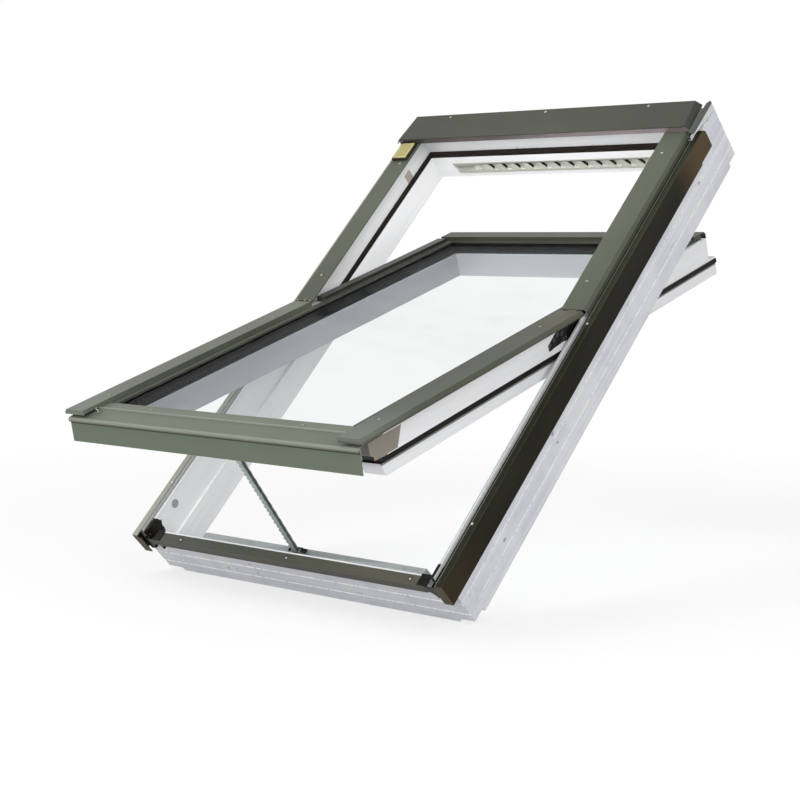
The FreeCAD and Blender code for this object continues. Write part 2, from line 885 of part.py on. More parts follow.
hook_start = bracket_front - hook_out
hook = [
    (bracket_front + bracket_nose, front_top - bracket_front_depth),
    (hook_start + hook_slant, front_top - hook_low),
    (hook_start, front_top - hook_top),
    (hook_start + sheet_thickness, front_top - hook_top),
    (hook_start + hook_slant + sheet_thickness, front_top - hook_low + sheet_thickness),
    (bracket_front + bracket_nose, front_top - bracket_front_depth + sheet_thickness),
]
tab_top = hood_under - sheet_thickness
tab_low = lip_low + carrier_tab_width
carrier_tab = [
    (carrier_half, lip_low),
    (carrier_half, tab_top),
    (hood_half, tab_top),
    (hood_half + carrier_tab_slant, tab_low),
    (half_width, tab_low),
    (half_width, lip_low),
]
for side, hand in SIDES:
    start, end = run_x(side, carrier_half, half_width)
    extrude(carrier, "x", rectangle(head_ledge, crest_height, frame_length, foot_top), start, end)
    start, end = run_x(side, half_width - sheet_thickness, half_width)
    extrude(carrier, "x", bracket_side, start, end)
    start, end = run_x(side, half_width - bracket_flange, half_width)
    extrude(carrier, "x", bracket_rim, start, end)
    extrude(carrier, "x", hook, start, end)
    extrude(
        carrier,
        "y",
        handed(carrier_tab, side),
        carrier_front,
        carrier_front + sheet_thickness,
    )

# Small fittings of the frame
sensor_back = hood_front - sensor_gap
sensor_side = half_width - sensor_inset
sensor = rectangle(
    -sensor_side, sensor_back - sensor_length, sensor_width - sensor_side, sensor_back
)
sensor_top = upper_cover_height + sensor_height
bar("rain_sensor", frame_place, "z", sensor, upper_cover_height, sensor_top)

vent_half = half_width - vent_inset
vent_face = head_inner - vent_thickness
vent_high = vent_low + vent_height
vent = bar(
    "vent_strip",
    frame_place,
    "y",
    [
        (-vent_half, vent_high),
        (vent_slant - vent_half, vent_low),
        (vent_half - vent_slant, vent_low),
        (vent_half, vent_high),
    ],
    vent_face,
    head_inner,
)
hole = (vent_hole_start - vent_half, vent_low + vent_height / 2)
disc(vent, "y", hole, vent_hole, vent_face, head_inner, cut=True)
slot_start = vent_slot_start - vent_half
slot = rectangle(
    slot_start, vent_cut_low, slot_start + vent_slot_length, vent_cut_low + vent_cut_height
)
extrude(vent, "y", slot, vent_face, head_inner, cut=True)
cut_start = vent_cut_start - vent_half
teeth = extrude(
    vent,
    "y",
    [
        (cut_start, vent_cut_low),
        (cut_start + vent_cut_width, vent_cut_low),
        (cut_start + vent_cut_width, vent_cut_low + vent_cut_height),
    ],
    vent_face,
    head_inner,
    cut=True,
)
doc.recompute()
vent_pitch = (vent_half * 2 - vent_cut_start - vent_cut_rest) / (vent_cuts - 1)
repeat(vent, [teeth], "x", vent_pitch, vent_cuts)

bar(
    "latch_plate",
    frame_place,
    "x",
    rectangle(latch_start, latch_low, latch_end, latch_high),
    -(ledge + latch_thickness),
    -ledge,
)

# Chain drive: long housing on the sill with a slot for the chain
housing_left = half_width - housing_left_inset
housing_right = half_width - housing_right_inset
housing_back = sill_width + housing_width
housing_top = sill_base_height + housing_height
housing = bar(
    "chain_drive_housing",
    frame_place,
    "z",
    rectangle(-housing_left, sill_width, housing_right, housing_back),
    sill_base_height,
    housing_top,
)
slot_half = chain_wide / 2 + slot_gap
slot_deep = chain_deep / 2 + slot_gap
extrude(
    housing,
    "z",
    rectangle(
        -chain_offset - slot_half,
        chain_outlet_y - slot_deep,
        slot_half - chain_offset,
        chain_outlet_y + slot_deep,
    ),
    chain_outlet_z - chain_foot * 2,
    housing_top,
    cut=True,
)
round_edges(housing, "z", [(-housing_left, housing_back)], housing_corner)

# Hinges: the pin stands on the frame plate and turns in the eye of the sash casting
eye = pin_radius + eye_wall
hinge_low = gasket_top + hinge_gap
fixed_plate = [
    (pivot_y - hinge_plate_below, hinge_low),
    (pivot_y + hinge_above, hinge_low),
    (pivot_y + hinge_above, channel_height),
    (pivot_y + eye, pivot_height),
    (pivot_y - eye, pivot_height),
    (pivot_y - eye - hinge_shoulder, channel_height),
    (pivot_y - hinge_plate_below, channel_height),
]
moving_low = sash_step + hinge_plate
moving_plate = [
    (pivot_y - hinge_below, moving_low),
    (pivot_y, moving_low),
    (pivot_y + eye, pivot_height - eye),
    (pivot_y + eye, pivot_height),
    (pivot_y - eye, pivot_height),
    (pivot_y - eye - hinge_shoulder, sash_front),
    (pivot_y - hinge_below, sash_front),
]
centre = (pivot_y, pivot_height)
for side, hand in SIDES:
    start, end = run_x(side, ledge - hinge_plate, ledge)
    fixed = bar(hand + "_hinge_fixed", frame_place, "x", fixed_plate, start, end)
    disc(fixed, "x", centre, eye, start, end)
    start, end = run_x(side, sash_half + seat_gap, ledge)
    disc(fixed, "x", centre, pin_radius, start, end)
    start, end = run_x(side, sash_half, sash_half + hinge_casting)
    moving = bar(hand + "_hinge_moving", sash_place, "x", moving_plate, start, end)
    disc(moving, "x", centre, eye, start, end)
    disc(moving, "x", centre, pin_radius + pin_gap, start, end, cut=True)

# Timber of the sash: stiles with a flange, a long tongue and a slanted toe
stile_profile = [
    (rim_half, sash_back),
    (sash_half, sash_back),
    (sash_half, sash_front),
    (rebate_in, sash_front),
    (rebate_in, glass_back),
    (rim_half, glass_back),
]
flange_end = pivot_y - hinge_below
toe_front = stile_bottom - stile_toe
toe_cross = sash_back + toe_height * (toe_slant - stile_toe) / toe_slant
plate_back = plate_low + plate_toe
corner_shape = [
    (plate_end, plate_top),
    (plate_end - plate_slant, plate_low),
    (plate_front, plate_low),
    (plate_front, plate_back),
    (-plate_front, plate_top - plate_nose),
    (-plate_front, plate_top),
]
corner_recess = [
    (stile_bottom, plate_top),
    (plate_end, plate_top),
    (plate_end - plate_slant, plate_low),
    (stile_bottom, plate_low),
]
for side, hand in SIDES:
    stile = bar(
        hand + "_stile", sash_place, "y", handed(stile_profile, side), stile_bottom, sash_top
    )
    tongue = rectangle(rim_half, sash_back, sash_half, sash_step)
    extrude(stile, "y", handed(tongue, side), sash_top, sash_tongue_top)
    flange = rectangle(sash_half, sash_step, sash_flange_half, sash_front)
    extrude(stile, "y", handed(flange, side), stile_bottom, flange_end)
    start, end = run_x(side, rim_half, sash_half)
    toe = [
        (stile_bottom, toe_cross),
        (toe_front, sash_back + toe_height),
        (toe_front, sash_gasket_low),
        (stile_bottom, sash_gasket_low),
    ]
    extrude(stile, "x", toe, start, end)
    wedge = [
        (stile_bottom, sash_back),
        (toe_front + toe_slant, sash_back),
        (stile_bottom, toe_cross),
    ]
    extrude(stile, "x", wedge, start, end, cut=True)
    start, end = run_x(side, sash_flange_half - plate_thickness, sash_flange_half)
    extrude(stile, "x", corner_recess, start, end, cut=True)
    bar(hand + "_corner_plate", sash_place, "x", corner_shape, start, end)

bottom_back = sash_bottom_high + bottom_upstand
bar(
    "sash_bottom_rail",
    sash_place,
    "x",
    [
        (sash_bottom_low, sash_back),
        (rim_bottom, sash_back),
        (rim_bottom, glass_back),
        (bottom_back, glass_back),
        (bottom_back, sash_front),
        (sash_bottom_high, sash_front),
        (sash_bottom_high, sash_bottom_shelf),
        (sash_bottom_low, sash_bottom_shelf),
    ],
    -rim_half,
    rim_half,
)
bar(
    "sash_top_rail",
    sash_place,
    "x",
    [
        (rim_top, sash_back),
        (sash_tongue_top, sash_back),
        (sash_tongue_top, sash_step),
        (sash_top, sash_step),
        (sash_top, sash_front),
        (rim_top + glass_bite, sash_front),
        (rim_top + glass_bite, glass_back),
        (rim_top, glass_back),
    ],
    -rim_half,
    rim_half,
)

# Sealing strip round the sides and top of the sash
strip_half = sash_half + sash_gasket_width
strip_top = sash_tongue_top + sash_gasket_width
bar(
    "sash_gasket",
    sash_place,
    "z",
    [
        (-strip_half, stile_bottom),
        (-sash_half, stile_bottom),
        (-sash_half, sash_tongue_top),
        (sash_half, sash_tongue_top),
        (sash_half, stile_bottom),
        (strip_half, stile_bottom),
        (strip_half, strip_top),
        (-strip_half, strip_top),
    ],
    sash_gasket_low,
    sash_gasket_low + sash_gasket_height,
)

# Sealed glass unit
glass_low = bottom_back + glass_gap
glass_high = rim_top + glass_bite - glass_gap
glass_side = rebate_in - glass_gap
inner_face = glass_back + pane_thickness
outer_face = sash_front - pane_thickness
pane = rectangle(-glass_side, glass_low, glass_side, glass_high)
bar("outer_pane", sash_place, "z", pane, outer_face, sash_front)
bar("inner_pane", sash_place, "z", pane, glass_back, inner_face)
spacer = bar("glazing_spacer", sash_place, "z", pane, inner_face, outer_face)
opening = rectangle(
    spacer_width - glass_side,
    glass_low + spacer_width,
    glass_side - spacer_width,
    glass_high - spacer_width,
)
extrude(spacer, "z", opening, inner_face, outer_face, cut=True)

# Sash covers of the lower half: a short inner leg over the bottom cover, a long one above
short_leg = sash_cover_height - bottom_cover_height - seat_gap
sash_cover_outer = cover_inner + sash_cover_width
sash_profile = cover_profile(sash_cover_outer, sash_cover_height, sash_cover_leg, short_leg)
cover_low = sash_cover_height - sash_cover_leg
cover_tab = [
    (cover_inner, cover_low),
    (sash_cover_outer, cover_low),
    (sash_cover_outer, sash_cover_height - cover_bevel),
    (sash_cover_outer - cover_bevel, sash_cover_height),
    (cover_inner, sash_cover_height),
]
long_leg = rectangle(
    cover_inner, sash_front, cover_inner + sheet_thickness, bottom_cover_height + seat_gap
)
for side, hand in SIDES:
    cover = bar(
        hand + "_sash_cover",
        sash_place,
        "y",
        handed(sash_profile, side),
        -sash_cover_front,
        sash_cover_end,
    )
    extrude(cover, "y", handed(long_leg, side), stile_bottom, sash_cover_end)
    extrude(
        cover,
        "y",
        handed(cover_tab, side),
        -sash_cover_front,
        sheet_thickness - sash_cover_front,
    )

# Bottom cover: two stepped flats, a bead and a drip edge, narrower between the jambs
flat_end = bottom_cover_inner - bottom_cover_flat
lower_flat = bottom_cover_height - bottom_cover_step
bead_top = lower_flat - bottom_cover_fall
shoulder = bead_top - sheet_thickness
bead_low = shoulder - bead_height
neck = bead_proud - bead_front
inner_leg = bottom_cover_inner - sheet_thickness
bottom_under = bottom_cover_height - sheet_thickness
bottom_cover_half = half_width - bottom_cover_inset
bottom_cover = bar(
    "sash_bottom_cover",
    sash_place,
    "x",
    [
        (bottom_cover_inner, sash_front),
        (bottom_cover_inner, bottom_cover_height),
        (flat_end, bottom_cover_height),
        (flat_end, lower_flat),
        (-sash_cover_front, bead_top),
        (-bead_front, shoulder),
        (-bead_front, bead_low),
        (neck, bead_low - plate_thickness),
        (neck, bead_low - bead_neck),
        (-bead_front, drip_height),
        (sheet_thickness - bead_front, drip_height),
        (neck + sheet_thickness, bead_low - bead_neck),
        (neck + sheet_thickness, shoulder),
        (flat_end + sheet_thickness, lower_flat - sheet_thickness),
        (flat_end + sheet_thickness, bottom_under),
        (inner_leg, bottom_under),
        (inner_leg, sash_front),
    ],
    -bottom_cover_half,
    bottom_cover_half,
)
for side, hand in SIDES:
    corner = rectangle(
        sash_flange_half, -bottom_cover_ahead, bottom_cover_half, bottom_cover_inner
    )
    extrude(
        bottom_cover,
        "z",
        handed(corner, side),
        shoulder,
        bottom_cover_height,
        cut=True,
    )

# Glazing profiles: a low step all along the side, a high one above the pivot
step_inner = rim_half - profile_edge
step_outer = step_inner + profile_low_width
profile_outer = step_outer + profile_width
profile_top = sash_front + profile_height
low_top = sash_front + profile_low_height
profile_end = rim_top - top_profile_lap
for side, hand in SIDES:
    low_step = rectangle(step_inner, sash_front, step_outer, low_top)
    high_step = rectangle(step_outer, sash_front, profile_outer, profile_top)
    profile = bar(
        hand + "_glazing_profile",
        sash_place,
        "y",
        handed(low_step, side),
        profile_start,
        profile_end,
    )
    extrude(
        profile, "y", handed(high_step, side), pivot_y + profile_above_pivot, profile_end
    )
top_step = profile_end + top_profile_step
top_out = sash_top + top_profile_out
wall_under = profile_top - profile_wall
bar(
    "top_glazing_profile",
    sash_place,
    "x",
    [
        (profile_end, sash_front),
        (profile_end, low_top),
        (top_step, low_top),
        (top_step, profile_top),
        (top_out - top_profile_bevel, profile_top),
        (top_out, profile_top - top_profile_bevel),
        (top_out, sash_front - top_profile_leg),
        (top_out - profile_wall, sash_front - top_profile_leg),
        (top_out - profile_wall, wall_under - top_profile_bevel),
        (top_out - profile_wall - top_profile_bevel, wall_under),
        (sash_top, wall_under),
        (sash_top, sash_front),
    ],
    -profile_outer,
    profile_outer,
)

# Push chain from the sill to the sash: its foot and its upper pin lie on one circle
# about the pivot, so it leans by half the angle of the sash
foot = FreeCAD.Vector(-chain_offset.value, chain_outlet_y.value, chain_outlet_z.value)
arm = FreeCAD.Vector(0, foot.y - pivot_y.value, foot.z - pivot_height.value)
radius = arm.Length
upper_z = chain_outlet_z + chain_rise
drop = upper_z.value - pivot_height.value
upper_y = pivot_y.value - math.sqrt(radius ** 2 - drop ** 2)
lead = math.atan2(foot.z - pivot_height.value, foot.y - pivot_y.value)
lead = math.degrees(lead - math.atan2(drop, upper_y - pivot_y.value))
swing = opening_angle.value + abs(lead)
foot_angle = math.degrees(math.atan2(arm.z, arm.y))
chord = 2 * radius * math.sin(math.radians(swing / 2))
chain_length = math.hypot(chord, chain_lean.value)
chain_turn = foot_angle - swing / 2 + 180
side_turn = math.degrees(math.atan2(chain_lean.value, chord))
chain_place = frame_place.multiply(
    FreeCAD.Placement(foot, FreeCAD.Rotation(FreeCAD.Vector(1, 0, 0), chain_turn))
)
chain_place = chain_place.multiply(
    FreeCAD.Placement(
        FreeCAD.Vector(0, 0, 0), FreeCAD.Rotation(FreeCAD.Vector(0, 1, 0), -side_turn)
    )
)
chain_side = chain_wide / 2
chain_face = chain_deep / 2
core_side = chain_side - chain_plate
links = int((chain_length - chain_pin.value) / chain_link_pitch.value)
chain_end = chain_length - chain_pin.value - seat_gap.value
chain = bar(
    "push_chain",
    chain_place,
    "z",
    rectangle(-core_side, -chain_core / 2, core_side, chain_core / 2),
    -chain_foot,
    chain_end,
)
link_low = -chain_foot
link_high = chain_link_pitch - chain_foot
link = [
    (chain_face, link_low),
    (chain_face, link_high),
    (chain_core / 2 - chain_notch / 2, link_high),
    (-chain_face, link_high - chain_notch),
    (-chain_face, link_low + chain_notch),
    (chain_core / 2 - chain_notch / 2, link_low),
]
near = extrude(chain, "x", link, core_side, chain_side)
far = extrude(chain, "x", link, -chain_side, -core_side)
doc.recompute()
repeat(chain, [near, far], "z", chain_link_pitch, links)
pin = disc(chain, "x", (0, chain_link_pitch / 2), chain_pin, -chain_side - seat_gap, chain_side)
doc.recompute()
repeat(chain, [pin], "z", chain_link_pitch, links - 1)

# Bracket that carries the chain's upper pin under the bottom rail
upper_x = chain_offset + chain_lean
ear = [
    (upper_y - ear_half, sash_bottom_shelf),
    (upper_y - ear_foot, upper_z - ear_foot),
    (upper_y + ear_foot, upper_z - ear_foot),
    (upper_y + ear_half, sash_bottom_shelf),
]
bracket = bar(
    "chain_bracket",
    sash_place,
    "x",
    ear,
    chain_side + ear_gap - upper_x,
    chain_side + ear_gap + ear_thickness - upper_x,
)
extrude(
    bracket,
    "x",
    ear,
    -upper_x - chain_side - ear_gap - ear_thickness,
    -upper_x - chain_side - ear_gap,
)
extrude(
    bracket,
    "z",
    rectangle(
        -upper_x - chain_side - ear_gap - ear_thickness,
        upper_y - ear_half,
        chain_side + ear_gap + ear_thickness - upper_x,
        upper_y + ear_half,
    ),
    sash_bottom_shelf - sheet_thickness,
    sash_bottom_shelf,
)
disc(
    bracket,
    "x",
    (upper_y, upper_z),
    chain_pin,
    -upper_x - chain_side - ear_gap,
    chain_side + ear_gap - upper_x,
)

doc.recompute()
for item in doc.Objects:
    if "Invalid" in item.State or "Error" in item.State:
        raise RuntimeError(item.Label + " " + item.Name + " " + str(item.State))
for body in pieces:
    shape = body.Shape
    if shape.isNull() or not shape.isValid() or len(shape.Solids) != 1:
        raise RuntimeError(body.Label + " is not one valid solid")
for body in pieces:
    body.Shape.exportStep("parts/" + body.Label + ".step")
print(len(pieces), "pieces; chain", chain_length, chain_turn, side_turn, "upper pin", upper_y)
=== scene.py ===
import json
import math

import bmesh
import bpy
from mathutils import Matrix, Vector


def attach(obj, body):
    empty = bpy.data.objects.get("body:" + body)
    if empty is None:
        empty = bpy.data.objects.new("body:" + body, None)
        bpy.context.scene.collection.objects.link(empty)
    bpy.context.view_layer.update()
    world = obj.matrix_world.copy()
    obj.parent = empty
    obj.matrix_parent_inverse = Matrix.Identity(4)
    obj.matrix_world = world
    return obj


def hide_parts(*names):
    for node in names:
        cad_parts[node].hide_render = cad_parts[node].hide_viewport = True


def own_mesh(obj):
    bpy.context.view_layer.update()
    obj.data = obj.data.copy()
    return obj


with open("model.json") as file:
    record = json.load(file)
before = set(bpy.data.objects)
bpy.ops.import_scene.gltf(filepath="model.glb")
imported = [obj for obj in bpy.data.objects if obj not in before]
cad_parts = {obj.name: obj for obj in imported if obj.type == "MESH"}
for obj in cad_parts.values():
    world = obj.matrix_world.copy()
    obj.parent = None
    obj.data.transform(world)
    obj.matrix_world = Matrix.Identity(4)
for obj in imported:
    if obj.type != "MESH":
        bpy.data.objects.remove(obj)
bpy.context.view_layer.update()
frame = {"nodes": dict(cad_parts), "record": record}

# Camera: place, heading, tilt and roll found from the photograph's straight edges
CAMERA_PLACE = (2.1905, -2.2531, 0.5910)
CAMERA_HEADING = 40.752
CAMERA_TILT = -4.912
CAMERA_ROLL = 0.486
FOCAL_PIXELS = 1726.6
PICTURE_PIXELS = 800
SENSOR = 36.0
FAR_CLIP = 60

# Window axes in millimetres: x across, y up the slope, z out of the roof.
# Sash axes are the same with the sash closed.
MILLI = 0.001
ROOF_PITCH = 45.0
OPENING = 27.5
HALF_DEPTH = 55.0
PIVOT = Vector((0.0, 624.0, 124.0))
WINDOW = (
    Matrix.Rotation(math.radians(ROOF_PITCH), 4, "X")
    @ Matrix.Scale(MILLI, 4)
    @ Matrix.Translation((0.0, 0.0, -HALF_DEPTH))
)
SASH = (
    WINDOW
    @ Matrix.Translation(PIVOT)
    @ Matrix.Rotation(math.radians(-OPENING), 4, "X")
    @ Matrix.Translation(-PIVOT)
)
SIDES = ((-1, "left"), (1, "right"))
X, Y, Z = Vector((1, 0, 0)), Vector((0, 1, 0)), Vector((0, 0, 1))


def make_camera():
    data = bpy.data.cameras.new("view")
    data.sensor_fit = "HORIZONTAL"
    data.sensor_width = SENSOR
    data.lens = SENSOR * FOCAL_PIXELS / PICTURE_PIXELS
    data.clip_end = FAR_CLIP
    camera = bpy.data.objects.new("view", data)
    turn = (
        Matrix.Rotation(math.radians(CAMERA_HEADING), 4, "Z")
        @ Matrix.Rotation(math.radians(90 + CAMERA_TILT), 4, "X")
        @ Matrix.Rotation(math.radians(CAMERA_ROLL), 4, "Z")
    )
    camera.matrix_world = Matrix.Translation(CAMERA_PLACE) @ turn
    bpy.context.scene.collection.objects.link(camera)
    bpy.context.scene.camera = camera


make_camera()


class Finish:
    """A node material whose pattern lies in one body's own axes, in millimetres."""

    def __init__(self, name, place, roughness, **sockets):
        self.material = bpy.data.materials.new(name)
        self.material.use_nodes = True
        self.tree = self.material.node_tree
        self.shader = self.tree.nodes["Principled BSDF"]
        self.shader.inputs["Roughness"].default_value = roughness
        for key, value in sockets.items():
            self.shader.inputs[key.replace("_", " ")].default_value = value
        back = place.inverted()
        self.spot = self.node(
            "ShaderNodeMapping",
            Vector=self.node("ShaderNodeTexCoord").outputs["Object"],
            Location=back.translation,
            Rotation=back.to_3x3().normalized().to_euler(),
            Scale=(1 / MILLI, 1 / MILLI, 1 / MILLI),
        ).outputs[0]
        parts = self.node("ShaderNodeSeparateXYZ", Vector=self.spot)
        self.x, self.y, self.z = parts.outputs
        self.normal = None

    def feed(self, socket, value):
        if isinstance(value, bpy.types.NodeSocket):
            self.tree.links.new(value, socket)
        elif socket.type == "RGBA" and len(value) == 3:
            socket.default_value = (*value, 1)
        else:
            socket.default_value = value

    def node(self, kind, settings=None, **inputs):
        made = self.tree.nodes.new(kind)
        for key, value in (settings or {}).items():
            setattr(made, key, value)
        for key, value in inputs.items():
            self.feed(made.inputs[key.replace("_", " ")], value)
        return made

    def math(self, operation, *values):
        made = self.node("ShaderNodeMath", {"operation": operation})
        for socket, value in zip(made.inputs, values):
            self.feed(socket, value)
        return made.outputs[0]

    def vector(self, operation, *values):
        made = self.node("ShaderNodeVectorMath", {"operation": operation})
        for socket, value in zip(made.inputs, values):
            self.feed(socket, value)
        return made.outputs["Value" if operation in ("LENGTH", "DOT_PRODUCT") else 0]

    def mix(self, amount, first, second):
        made = self.node("ShaderNodeMix", {"data_type": "RGBA"})
        for index, value in ((0, amount), (6, first), (7, second)):
            self.feed(made.inputs[index], value)
        return made.outputs[2]

    def noise(self, size, detail=3.0, stretch=None):
        """Noise with features of about size millimetres, drawn out by stretch."""
        where = self.spot
        if stretch:
            where = self.vector("MULTIPLY", where, stretch)
        made = self.node("ShaderNodeTexNoise", Vector=where, Scale=1 / size, Detail=detail)
        return made.outputs[0]

    def ramp(self, value, low, high):
        """0 at low to 1 at high, also where low is the larger."""
        turned = low > high
        made = self.node(
            "ShaderNodeMapRange",
            {"interpolation_type": "SMOOTHSTEP"},
            Value=value,
            From_Min=min(low, high),
            From_Max=max(low, high),
            To_Min=1.0 if turned else 0.0,
            To_Max=0.0 if turned else 1.0,
        )
        return made.outputs[0]

    def band(self, value, low, high, soft=0.5):
        rise = self.ramp(value, low - soft, low)
        fall = self.ramp(value, high + soft, high)
        return self.math("MULTIPLY", rise, fall)

    def most(self, *masks):
        found = masks[0]
        for mask in masks[1:]:
            found = self.math("MAXIMUM", found, mask)
        return found

    def near(self, point, radius, stretch=(1, 1, 1)):
        """Mask of a ragged spot around a point."""
        offset = self.vector("MULTIPLY", self.vector("SUBTRACT", self.spot, point), stretch)
        wobble = self.math("MULTIPLY", self.noise(radius * 0.7, 2.0), radius * 0.9)
        away = self.math("ADD", self.vector("LENGTH", offset), wobble)
        return self.ramp(away, radius * 1.5, radius * 1.1)

    def edges(self, radius):
        """Mask of the corners of the piece, as wide as radius."""
        soft = self.node("ShaderNodeBevel", {"samples": 6}, Radius=radius * MILLI).outputs[0]
        hard = self.node("ShaderNodeNewGeometry").outputs["Normal"]
        turn = self.math("SUBTRACT", 1.0, self.vector("DOT_PRODUCT", soft, hard))
        return self.ramp(turn, 0.008, 0.10)

    def round_off(self, radius):
        """Lets corners catch light as if rounded by radius."""
        made = self.node("ShaderNodeBevel", {"samples": 6}, Radius=radius * MILLI)
        self.normal = made.outputs[0]

    def bump(self, height, depth, strength=1.0):
        made = self.node(
            "ShaderNodeBump", Height=height, Distance=depth * MILLI, Strength=strength
        )
        if self.normal:
            self.tree.links.new(self.normal, made.inputs["Normal"])
        self.normal = made.outputs[0]

    def wear(self, value, low, high):
        """Roughness from low to high with a 0 to 1 pattern."""
        made = self.node("ShaderNodeMapRange", Value=value, To_Min=low, To_Max=high)
        self.feed(self.shader.inputs["Roughness"], made.outputs[0])

    def done(self, colour):
        self.feed(self.shader.inputs["Base Color"], colour)
        if self.normal:
            self.feed(self.shader.inputs["Normal"], self.normal)
        return self.material


def scaled(colour, factor):
    return tuple(c * factor for c in colour)


def toned(colour, tone):
    """A lacquer colour shifted as far as tone is from plain lacquer."""
    return tuple(a * b / c for a, b, c in zip(colour, tone, LACQUER))


# Timber

DASHES = {"x": (1.0, 0.02, 0.02), "y": (0.02, 0.9, 0.02)}
ALONG = {"x": (0.02, 1.0, 1.0), "y": (1.0, 0.02, 1.0), "z": (1.0, 1.0, 0.05)}
LACQUER = (0.87, 0.875, 0.88)
LACQUER_SHADE = (0.83, 0.835, 0.85)
LACQUER_WARM = (0.87, 0.86, 0.845)
PRIMER = (0.60, 0.605, 0.635)
PRIMER_COOL = (0.52, 0.53, 0.58)
PORE = (0.45, 0.45, 0.48)
MARK = (0.16, 0.16, 0.17)
PALE_LINE = (0.42, 0.52, 0.48)
STILE_LINE = (0.15, 0.165, 0.14)
PLATE = (0.20, 0.18, 0.145)
# The grooves' white, painted on the outer face around them as a highlight
GROOVE_WHITE_HIGHLIGHT = (0.97, 0.97, 0.97)
STILE_WHITE = (0.75, 0.755, 0.77)
# Painted shade: a greyer tone for the sash's top rail
TOP_RAIL_SHADE = (0.66, 0.66, 0.685)
# Painted shade on the sash's inner faces
INNER_FACE_SHADE = (0.44, 0.44, 0.475)
SEAL_BLACK = (0.008, 0.007, 0.006)

# Places of faces, grooves and lines across the window and up its slope
HALF_WIDTH = 390.0
LENGTH = 1180.0
SKIN = 0.5
CREST_LINE = (361.0, 363.0)
CREST_TOP = 119.0
LEDGE = (352.5, 359.3)
LEDGE_TOP = (56.5, 57.4)
JAMB_GROOVES = (22, 53)
SILL_GROOVES = (18, 47)
SASH_HALF = 344.4
SASH_INNER = 299.5
SEAL_LOW, SEAL_HIGH = 56.5, 66.0
PLATE_START = 36.5


def timber(name, place, grain, outer=None, lines=None, marks=(), shade=None, tone=LACQUER):
    """White lacquered pine; outer, lines and shade give masks of its other faces, where lines can
    carry painted highlights, shade carries painted shade, and tone can grey the whole piece as
    painted shade.
    """
    f = Finish(name, place, 0.4, Specular_IOR_Level=0.35)
    fine = f.noise(1.3, 4.0, ALONG[grain])
    wide = f.noise(9.0, 3.0, ALONG[grain])
    cloud = f.noise(70.0, 4.0)
    pores = f.ramp(fine, 0.34, 0.62)
    white = f.mix(f.ramp(wide, 0.3, 0.7), toned(LACQUER_SHADE, tone), tone)
    warmth = f.math("MULTIPLY", f.ramp(cloud, 0.45, 0.75), 0.5)
    white = f.mix(warmth, white, toned(LACQUER_WARM, tone))
    if outer:
        primed = f.mix(f.ramp(cloud, 0.35, 0.65), PRIMER_COOL, PRIMER)
        primed = f.mix(f.ramp(wide, 0.4, 0.75), primed, scaled(PRIMER, 1.08))
        white = f.mix(outer(f), white, primed)
    if shade:
        mask, colour = shade(f)
        white = f.mix(mask, white, colour)
    if lines:
        mask, colour = lines(f)
        white = f.mix(mask, white, colour)
    white = f.mix(f.math("MULTIPLY", f.math("SUBTRACT", 1.0, pores), 0.09), white, PORE)
    for point, radius, stretch, strength in marks:
        mask = f.math("MULTIPLY", f.near(point, radius, stretch), strength)
        white = f.mix(mask, white, MARK)
    f.round_off(0.7)
    f.bump(pores, 0.05, 0.35)
    f.wear(wide, 0.33, 0.5)
    return f.done(white)


def outer_of_frame(f):
    """The primed outside faces of the frame."""
    out = f.ramp(f.math("ABSOLUTE", f.x), HALF_WIDTH - SKIN, HALF_WIDTH - SKIN / 2)
    front = f.ramp(f.y, SKIN, SKIN / 2)
    back = f.ramp(f.y, LENGTH - SKIN, LENGTH - SKIN / 2)
    return f.most(out, front, back)


def groove_of(depth_axis, edge, along, heights, strength):
    """White dashes along the grooves of an outer face: the grooves' white, painted onto the face
    around them as a highlight, broken into dashes.
    """

    def lines(f):
        value = {"x": f.math("ABSOLUTE", f.x), "y": f.math("SUBTRACT", 0.0, f.y)}[depth_axis]
        face = f.ramp(value, edge - 1.6, edge - 1.3)
        line = f.most(*(f.band(f.z, low - 1.0, low + 2.2, 0.3) for low in heights))
        dashes = f.ramp(f.noise(9.0, 1.0, DASHES[along]), 0.36, 0.50)
        shown = f.math("MULTIPLY", f.math("MULTIPLY", face, line), dashes)
        return f.math("MULTIPLY", shown, strength), GROOVE_WHITE_HIGHLIGHT

    return lines


def crest_line(f):
    """A pale line along the jamb's crest, a painted highlight along its ledge, and the painted
    highlight dashes of its grooves.
    """
    across = f.math("ABSOLUTE", f.x)
    crest = f.ramp(f.z, CREST_TOP - 0.8, CREST_TOP - 0.2)
    top = f.math("MULTIPLY", f.band(across, *CREST_LINE, 0.3), crest)
    groove, white = groove_of("x", HALF_WIDTH, "y", JAMB_GROOVES, 0.5)(f)
    # Painted highlight: the ledge's top face is painted white
    ledge = f.math("MULTIPLY", f.band(across, *LEDGE, 0.2), f.band(f.z, *LEDGE_TOP, 0.3))
    return f.most(top, groove, ledge), f.mix(top, white, PALE_LINE)


def stile_line(f):
    """A grey line under the sash's gasket; its lower corners show plate and gasket."""
    across = f.math("ABSOLUTE", f.x)
    side = f.ramp(across, SASH_HALF - 0.8, SASH_HALF)
    line = f.math("MULTIPLY", side, f.band(f.z, 53.0, 57.0, 0.3))
    corner = f.ramp(across, SASH_INNER + 0.5, SASH_INNER + 1.5)
    toe = f.math("MULTIPLY", corner, f.ramp(f.y, PLATE_START, PLATE_START - 1.0))
    foot = f.math("MULTIPLY", toe, f.ramp(f.z, SEAL_HIGH, SEAL_HIGH + 1.0))
    seal = f.math("MULTIPLY", toe, f.band(f.z, SEAL_LOW, SEAL_HIGH, 0.3))
    tone = f.mix(foot, STILE_LINE, PLATE)
    return f.most(line, foot, seal), f.mix(seal, tone, SEAL_BLACK)


def stile_shade(f):
    """Painted shade: the sash's inner faces are greyer."""
    across = f.math("ABSOLUTE", f.x)
    return f.ramp(across, SASH_INNER, SASH_INNER - 0.9), INNER_FACE_SHADE


